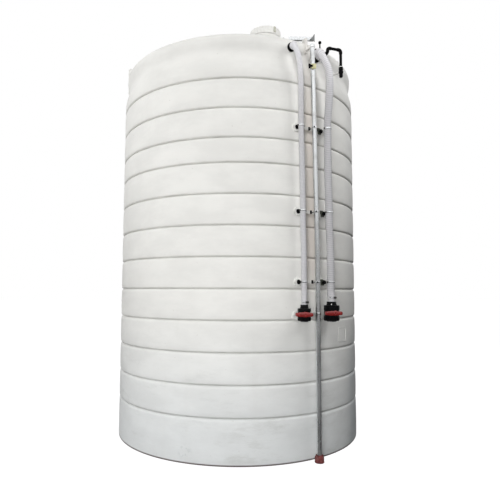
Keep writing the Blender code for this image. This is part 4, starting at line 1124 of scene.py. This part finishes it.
class TANK_OT_valves(bpy.types.Operator):
    """Makes the two ball valves, their red levers and the bracket behind them"""

    bl_idname = "tank.valves"
    bl_label = "Valves"

    def execute(self, context):
        for side in VALVES:
            spindle = upright(valve_axis(side)) @ facing_out(VALVES[side]["facing"])
            self.make_valve(side, spindle)
            self.make_handle(side, spindle)
        make_wall_bar("valve_bracket", VALVE_BAR_REACH, VALVE_BAR_HEIGHT, "valve_bracket")
        pads = [placed(cylinder(PAD_RADIUS, -0.014, 0.001, 0.004, 40),
                       facing_out(azimuth, VALVE_BAR_REACH, VALVE_PAD_HEIGHT)) for azimuth in VALVE_PADS]
        make_piece("valve_bracket_pads", pads, "white_rubber")
        make_saddle("valve_bracket", VALVE_BAR_REACH, VALVE_BAR_HEIGHT)
        return {"FINISHED"}

    def make_valve(self, side, spindle):
        """The valve: one profile turned round, with notched union nuts above and below the ball's housing.

        Its rows are radius, height and depth of the notches.
        """
        valve, hose = VALVES[side], LINES[side]["hose"]
        nut, half, neck, bore = valve["nut"] + 0.002, valve["half"], hose + 0.008, hose - 0.003
        waist, deep, shallow, low = 0.93 * nut, 0.007, 0.0028, valve["low"]
        rows = np.array([
            (0.0, 0.036 - low, 0), (bore, 0.036 - low, 0), (bore, 0.001 - low, 0), (bore + 0.001, -low, 0),
            (neck - 0.001, -low, 0), (neck, 0.002 - low, 0), (neck, 0.006 - low, 0),
            (nut - 0.008, 0.0065 - low, deep), (nut - 0.003, 0.008 - low, deep), (nut, 0.012 - low, deep),
            (nut, 0.020 - low, deep), (nut, 0.022 - low, shallow), (nut, -0.028, shallow),
            (nut - 0.003, -0.025, shallow), (waist + 0.001, -0.024, 0), (waist, -0.022, 0),
            (waist + 0.002, -0.010, 0), (waist + 0.003, 0.0, 0), (waist + 0.002, 0.010, 0), (waist, 0.022, 0),
            (waist + 0.001, 0.024, 0), (nut - 0.003, 0.025, shallow), (nut, 0.028, shallow),
            (nut, half - 0.028, shallow), (nut - 0.003, half - 0.024, shallow),
            (neck + 0.004, half - 0.022, 0), (neck + 0.003, half - 0.020, 0), (neck + 0.002, half - 0.010, 0),
            (neck, half - 0.008, 0), (neck, half + 0.006, 0), (neck - 0.002, half + 0.009, 0),
            (0.0, half + 0.009, 0)])
        body = placed(revolve(rows[:, :2], 120, rows[:, 2], count=10, phase=0.6), upright(valve_axis(side)))
        boss = placed(cylinder(0.018, 0.010, nut, 0.002, 32), spindle)
        stem = placed(cylinder(STEM_RADIUS, 0.013, nut + 0.8 * HANDLE_THICKNESS + 0.004, 0.001), spindle)
        depth = valve["reach"] - VALVE_BAR_REACH - BAR_THICKNESS - SEAM
        foot = placed(rounded_box((-0.018, -0.013, -depth), (0.018, 0.013, -0.011), 0.003),
                      facing_out(valve["azimuth"], valve["reach"], valve["height"]))
        make_piece(f"{side}_ball_valve", [body, boss, stem, foot], "black_plastic",
                   [f"{side}_valve_body"])
        if side == "right":
            plug = cylinder(0.0055, neck - 0.002, neck + 0.007, 0.001)
            make_piece("right_valve_plug", [plug], "white_rubber",
                       place=upright(valve_axis(side, PLUG_RISE)) @ facing_out(PLUG_FACING))

    def make_handle(self, side, spindle):
        """The lever: a bar whose height falls as a parabola from the hub and is rounded off at its tips,
        with a ridge along its front, a raised hub and a tab at each end."""
        face = VALVES[side]["nut"] + HANDLE_CLEARANCE
        first, last = VALVES[side]["lever"]
        half, middle = (last - first) / 2, (last + first) / 2
        along = np.linspace(first, last, 45)
        share = np.abs(along - middle) / half
        high = 0.0205 - 0.0060 * share ** 2
        high = high * np.sqrt(np.clip(1 - ((share - 0.86) / 0.14).clip(0.0) ** 2 * 0.80, 0.0, 1.0))
        deep = 0.0075 - 0.0018 * share ** 2
        deep = deep * np.sqrt(np.clip(1 - ((share - 0.93) / 0.07).clip(0.0) ** 2 * 0.6, 0.0, 1.0))
        section = changing_section(2 * high, 2 * deep, 0.21, steps=4)
        path = np.stack([along, 0 * along, face + 0.0085 + 0.0010 * share ** 2], axis=-1)
        ridge = np.interp(section[..., 0], (-0.017, -0.006, 0.016), (0.0, 0.0045, 0.0))
        section[..., 1] += ridge * (section[..., 1] > 0)
        lever = capped(carry(section, path, (0.0, 1.0, 0.0)))
        hub = [(STEM_RADIUS + SEAM, 0.001), (0.0225, 0.0), (0.0238, 0.002), (0.0240, 0.008), (0.0170, 0.0150),
               (0.0150, 0.0200), (0.0120, 0.0215), (STEM_RADIUS + 0.002, 0.0215),
               (STEM_RADIUS + SEAM, 0.0200)]
        hub = closed(revolve(hub, 48)) + [0.0, 0.0, face]
        tab = rounded_box((-0.006, -0.0125, 0.0015), (0.006, 0.0125, 0.0165), 0.003)
        tabs = [tab + [end, 0.0, face] for end in (first + 0.0065, last - 0.0065)]
        make_piece(f"{side}_lever", [lever, hub, *tabs], "red_plastic",
                   [f"{side}_valve_handle"], f"{side}_handle", spindle)


def make_wall_bar(name, reach, height, node):
    """A flat steel strip that follows the wall."""
    angle = np.radians(np.linspace(*BAR_AZIMUTHS, 40))
    middle = reach + BAR_THICKNESS / 2
    path = np.stack([middle * np.sin(angle), -middle * np.cos(angle), height + 0 * angle], axis=-1)
    make_piece(f"{name}_bar", [bar(path, (0.0, 0.0, 1.0), BAR_HEIGHT, BAR_THICKNESS, 0.0015)], "pale_strip",
               [node])


def make_saddle(name, reach, height):
    """The band that holds the post, and the spacer between it and the wall's strip."""
    azimuth, distance = azimuth_of(post_axis(height))
    spacer = placed(cylinder(0.008, reach + 0.003 - distance, -POST_RADIUS - SEAM - 0.001, 0.001),
                    facing_out(azimuth, distance, height))
    make_piece(f"{name}_saddle", [post_collar(height), spacer], "band_steel")


class TANK_OT_brackets(bpy.types.Operator):
    """Makes the three brackets: strips, rubber pads, knobs, cones, bolts and bands"""

    bl_idname = "tank.brackets"
    bl_label = "Brackets"

    def execute(self, context):
        for index, height in enumerate(BRACKET_HEIGHTS):
            name = f"bracket_{index + 1}"
            make_wall_bar(name, BAR_REACH, height, f"hose_{name}")
            make_saddle(name, BAR_REACH, height)
            self.make_fixings(name, index, height)
            self.make_bands(name, index, height)
        return {"FINISHED"}

    def make_fixings(self, name, index, height):
        """White rubber discs against the wall, the black knob, the bolt between hose and post, the post's
        bolt, and the dark cone with its wings."""
        left, right, bolt_place, cone_place = (
            facing_out(azimuths[index], BAR_REACH, height)
            for azimuths in (LEFT_PADS, RIGHT_PADS, BOLTS, CONES))
        pads = [placed(cylinder(PAD_RADIUS, -0.028, 0.001, 0.005, 44), place) for place in (left, right)]
        make_piece(f"{name}_pads", pads, "white_rubber")
        knob = [(0.0, 0.001), (0.0215, 0.001), (0.0220, 0.004), (0.0205, 0.009), (0.0140, 0.0118),
                (0.0, 0.0125)]
        knob = placed(revolve(knob, 48, [0.0, 0.0016, 0.0016, 0.0016, 0.0, 0.0], count=12), left)
        bolt = placed(rounded_box((-0.0075, -0.015, 0.004), (0.0075, 0.018, 0.016), 0.003), bolt_place)
        make_piece(f"{name}_knob", [knob, bolt], "black_knob")
        cone = [(0.0, 0.002), (0.0215, 0.002), (0.0225, 0.004), (0.0215, 0.012), (0.0180, 0.026),
                (0.0140, 0.0325), (0.0095, 0.0350), (0.0, 0.0355)]
        wings = [rounded_box((-0.040, -0.004, 0.004), (-0.006, 0.027, 0.018), 0.005),
                 rounded_box((-0.030, -0.030, 0.004), (0.010, 0.008, 0.014), 0.005)]
        front = POST_RADIUS + SEAM + 0.002
        stud = placed(cylinder(0.0075, front - 0.004, front + 0.007, 0.0012, 30, ripple=0.0008, count=6),
                      post_front(height, STUD_FACING))
        make_piece(f"{name}_cone", [placed(revolve(cone, 40), cone_place), stud], "black_knob")
        make_piece(f"{name}_wing", wings, "dark_green", place=cone_place)

    def make_bands(self, name, index, height):
        """A bright band round each hose, its flange bolts at the side and the arm behind it."""
        bands, ears = [], []
        for side, line in LINES.items():
            centre = hose_place(side, height + BAND_LIFTS[side][index])
            azimuth, distance = azimuth_of(centre)
            place = facing_out(azimuth, distance, centre.z)
            radius = line["hose"] + 0.0006
            bands.append(placed(washer(radius, radius + 0.0024, -0.0065, 0.0065, 0.001, 40), upright(centre)))
            arm = rounded_box((-0.008, height - centre.z - 0.006, BAR_REACH + 0.003 - distance),
                              (0.008, 0.0045, -radius - 0.001), 0.001)
            bands.append(placed(arm, place))
            for middle in (-radius - 0.004, radius + 0.004):
                ear = rounded_box((middle - 0.006, -0.008, -0.008), (middle + 0.006, 0.008, 0.002), 0.002)
                ears.append(placed(ear, place))
        make_piece(f"{name}_bands", bands, "band_steel")
        make_piece(f"{name}_ears", ears, "dark_steel")


class TANK_OT_post(bpy.types.Operator):
    """Makes the steel post, its foot cap, its clip and the stay on the shoulder"""

    bl_idname = "tank.post"
    bl_label = "Post"

    def execute(self, context):
        self.make_tube()
        self.make_cap()
        self.make_clip()
        self.make_stay()
        return {"FINISHED"}

    def make_tube(self):
        """The post: a round tube carried along its two straight runs, up outside and down inside."""
        heights = [POST_BOTTOM + SEAM, 0.6, 1.2, POST_BEND - 0.02, POST_BEND + 0.02, 2.4, 3.1, POST_END]
        path = np.array([post_axis(height) for height in heights])
        outer, rim, inner = (carry(circle(radius, 48), rows, (1.0, 0.0, 0.0)) for radius, rows in (
            (POST_RADIUS, path), (POST_RADIUS - 0.0006, path[[-1, -1]] + [[0, 0, 0], [0, 0, 0.0004]]),
            (POST_RADIUS - POST_WALL, path)))
        grid = closed(np.concatenate([outer, rim[:1], inner[::-1]]))
        make_piece("post_tube", [grid], "tube_steel", ["steel_post"])

    def make_cap(self):
        """The foot cap, one profile turned round: a socket with rolled edges and a wider foot."""
        bore, cap, top = POST_RADIUS + SEAM, CAP_RADIUS, CAP_HEIGHT
        profile = [(0.0, 0.0), (cap - 0.002, 0.0), (cap, 0.002), (cap, 0.010), (cap - 0.0015, 0.013),
                   (cap - 0.0015, 0.046), (cap - 0.003, 0.051), (0.80 * cap, 0.058),
                   (0.78 * cap, top - 0.002), (0.76 * cap, top), (bore + 0.001, top), (bore, top - 0.001),
                   (bore, POST_BOTTOM), (0.0, POST_BOTTOM)]
        make_piece("foot_cap", [revolve(profile, 64)], "primer_red", ["post_foot_cap"],
                   place=upright(post_axis(0.0)))

    def make_clip(self):
        """The clip: a yellow collar with a bent plate on the right, and a black lever on the left."""
        bore = POST_RADIUS + SEAM
        collar = placed(washer(bore, bore + 0.005, -0.017, 0.017, 0.002), post_frame(CLIP_HEIGHT))
        front = post_front(CLIP_HEIGHT - 0.008, 0.0)
        along = np.linspace(-0.016, 0.027, 16)
        bow = 0.030 - 6.0 * np.clip(along - 0.010, 0.0, None) ** 2
        plate = bar(np.stack([along, 0 * along, bow], axis=-1), (0.0, 1.0, 0.0), 0.048, 0.005, 0.002)
        make_piece("clip_plate", [collar, placed(plate, front)], "clear_yellow",
                   ["post_clip"])
        along = np.linspace(-0.044, -0.006, 12)
        high = np.interp(along, (-0.044, -0.038, -0.016, -0.006), (0.0450, 0.0460, 0.0150, 0.0160))
        section = changing_section(high, 0.014 + 0 * high, 0.175)
        path = np.stack([along, 0 * along, 0.034 + 0 * along], axis=-1)
        lever = capped(carry(section, path, (0.0, 1.0, 0.0)))
        make_piece("clip_lever", [lever], "black_knob", place=front)

    def make_stay(self):
        """The stay: a strip with a turned-up edge, its gusset, the strut and the band on the post."""
        left, right = (np.array(around(*end)) for end in STAY_ENDS)
        path = left + (right - left) * np.linspace(0.0, 1.0, 12)[:, None]
        web = bar(path + np.array(around(STAY_FACING, 0.010, 0.0)), (0.0, 0.0, 1.0), 0.036, 0.004, 0.0012)
        flange = bar(path + [0.0, 0.0, -0.016], (0.0, 0.0, 1.0), 0.004, 0.024, 0.0012)
        height = POST_END - STAY_DROP
        azimuth, distance = azimuth_of(post_axis(height))
        rise = np.linspace(0.0, GUSSET_HEIGHT, 10)
        width = 0.046 - 0.040 * rise / GUSSET_HEIGHT
        gusset = capped(carry(changing_section(width, 0.006 + 0 * rise, 0.2),
                              np.stack([0.004 - width / 2, rise, 0 * rise], axis=-1), (1.0, 0.0, 0.0)))
        strut = placed(rounded_box((-0.012, -0.024, -0.050), (0.012, 0.121, 0.004), 0.002),
                       facing_out(azimuth, STRUT_REACH, height))
        tongue = rounded_box((-0.012, -0.005, STRUT_REACH - distance),
                             (0.012, 0.005, -POST_RADIUS - 0.0006), 0.001)
        tongue = placed(tongue, facing_out(azimuth, distance, height))
        make_piece("stay_bar", [web, post_collar(height)], "band_steel", ["post_stay"])
        # the flange under the stay and the gusset get the darker steel: painted shade
        make_piece("stay_gusset", [flange, placed(gusset, facing_out(*GUSSET_PLACE))], "stay_steel")
        make_piece("stay_block", [strut, tongue], "roof_polyethylene")


class TANK_OT_overflow(bpy.types.Operator):
    """Makes the black overflow pipe with its fittings, and the small vent"""

    bl_idname = "tank.overflow"
    bl_label = "Overflow"

    def execute(self, context):
        self.make_pipe()
        self.make_tailpiece()
        self.make_holder()
        self.make_vent()
        return {"FINISHED"}

    def make_pipe(self):
        """The pipe: a round section along three bends, thicker where the elbows' sockets are."""
        flange = [(0.0, -0.016), (0.029, -0.016), (0.029, 0.009), (0.027, 0.012), (0.0215, 0.0135),
                  (0.020, 0.016), (0.0, 0.016)]
        make_piece("overflow_bulkhead", [revolve(flange, 48)], "black_plastic",
                   ["overflow_flange"], place=facing_out(OVERFLOW_AZIMUTH, RIM_RADIUS, OVERFLOW_OUTLET))
        start, elbow = (np.array(around(OVERFLOW_AZIMUTH, RIM_RADIUS + reach, OVERFLOW_OUTLET))
                        for reach in (0.016 + SEAM, 0.050))
        rise, drop, end = (np.array([*place, height]) for place, height in (
            (elbow[:2], OVERFLOW_RUN), (OVERFLOW_DROP, OVERFLOW_RUN), (OVERFLOW_DROP, SLEEVE_SPAN[1] + SEAM)))
        path, _ = respaced(rounded_route([start, elbow, rise, drop, end], OVERFLOW_BEND, 12), 0.003)
        near = np.min([np.linalg.norm(path - corner, axis=1) for corner in (elbow, rise, drop)], axis=0)
        socket, lip = near < 0.040, (near > 0.034) & (near < 0.040)
        radius = OVERFLOW_RADIUS - 0.0015 + 0.0032 * socket - 0.0008 * lip
        grid = capped(carry(circle(radius, 32), path, (0.3, 0.9, 0.3)))
        make_piece("overflow_tube", [grid], "black_plastic", ["overflow_pipe"])

    def make_tailpiece(self):
        """The open sleeve at the pipe's lower end and the white joint on it, both turned round."""
        sleeve, (low, high) = SLEEVE_RADIUS, SLEEVE_SPAN
        profile = [(0.0125, low), (0.0150, low), (0.0175, low + 0.002), (0.0178, high - 0.030),
                   (0.0205, high - 0.026), (sleeve, high - 0.022), (sleeve, high - 0.004), (0.0195, high),
                   (0.0130, high)]
        make_piece("overflow_tailpiece", [closed(revolve(profile, 40))], "black_plastic",
                   ["overflow_sleeve"], place=upright((*OVERFLOW_DROP, 0.0)))
        make_piece("overflow_joint", [washer(OVERFLOW_RADIUS - 0.004, sleeve - 0.001, 0.0005, 0.0065, 0.001)],
                   "white_rubber", place=upright((*OVERFLOW_DROP, high)))

    def make_holder(self):
        """The ring round the sleeve and its standoff from the wall."""
        centre = Vector((*OVERFLOW_DROP, SLEEVE_SPAN[0] + 0.050))
        azimuth, distance = azimuth_of(centre)
        ring = washer(SLEEVE_RADIUS - 0.003, SLEEVE_RADIUS + 0.001, -0.009, 0.009, 0.001)
        make_piece("overflow_holder", [ring], "black_plastic", ["overflow_clip"],
                   place=upright(centre))
        arm = cylinder(0.008, WAIST_RADIUS - 0.020 - distance, -SLEEVE_RADIUS + 0.001, 0.001)
        make_piece("overflow_standoff", [arm], "roof_polyethylene",
                   place=facing_out(azimuth, distance, centre.z))

    def make_vent(self):
        """The vent: a slim stem with a round knob, turned round."""
        profile = [(0.0, -0.110), (0.016, -0.110), (0.010, -0.104), (0.0085, -0.080), (0.0065, -0.058),
                   (0.0060, -0.032), (0.0085, -0.029), (0.0130, -0.025), (0.0155, -0.018), (0.0155, -0.012),
                   (0.0130, -0.005), (0.0080, -0.001), (0.0, 0.0)]
        make_piece("vent", [revolve(profile, 40)], "black_knob", ["vent_knob"],
                   place=upright(around(*VENT_PLACE)))


class TANK_PT_looks(bpy.types.Panel):
    """Lists what the add-on builds"""

    bl_label = "Storage Tank"
    bl_idname = "TANK_PT_looks"
    bl_space_type = "VIEW_3D"
    bl_region_type = "UI"
    bl_category = "Tank"

    def draw(self, context):
        for operator in OPERATORS:
            self.layout.operator(operator.bl_idname)


GROUPS = {"tank_shell": TankShellSettings, "tank_hoses": TankHoseSettings, "tank_colours": TankColourSettings,
          "tank_stage": TankStageSettings}
OPERATORS = (TANK_OT_stage, TANK_OT_shell, TANK_OT_manway, TANK_OT_hoses, TANK_OT_valves, TANK_OT_brackets,
             TANK_OT_post, TANK_OT_overflow)


def register():
    for group in (*GROUPS.values(), *OPERATORS, TANK_PT_looks):
        bpy.utils.register_class(group)
    for name, group in GROUPS.items():
        setattr(bpy.types.Scene, name, PointerProperty(type=group))


def unregister():
    for name in GROUPS:
        delattr(bpy.types.Scene, name)
    for group in (TANK_PT_looks, *reversed(OPERATORS), *GROUPS.values()):
        bpy.utils.unregister_class(group)


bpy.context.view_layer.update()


def main():
    """Registers the add-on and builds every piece."""
    register()
    for operator in OPERATORS:
        group, name = operator.bl_idname.split(".")
        getattr(getattr(bpy.ops, group), name)()


if __name__ == "__main__":
    main()
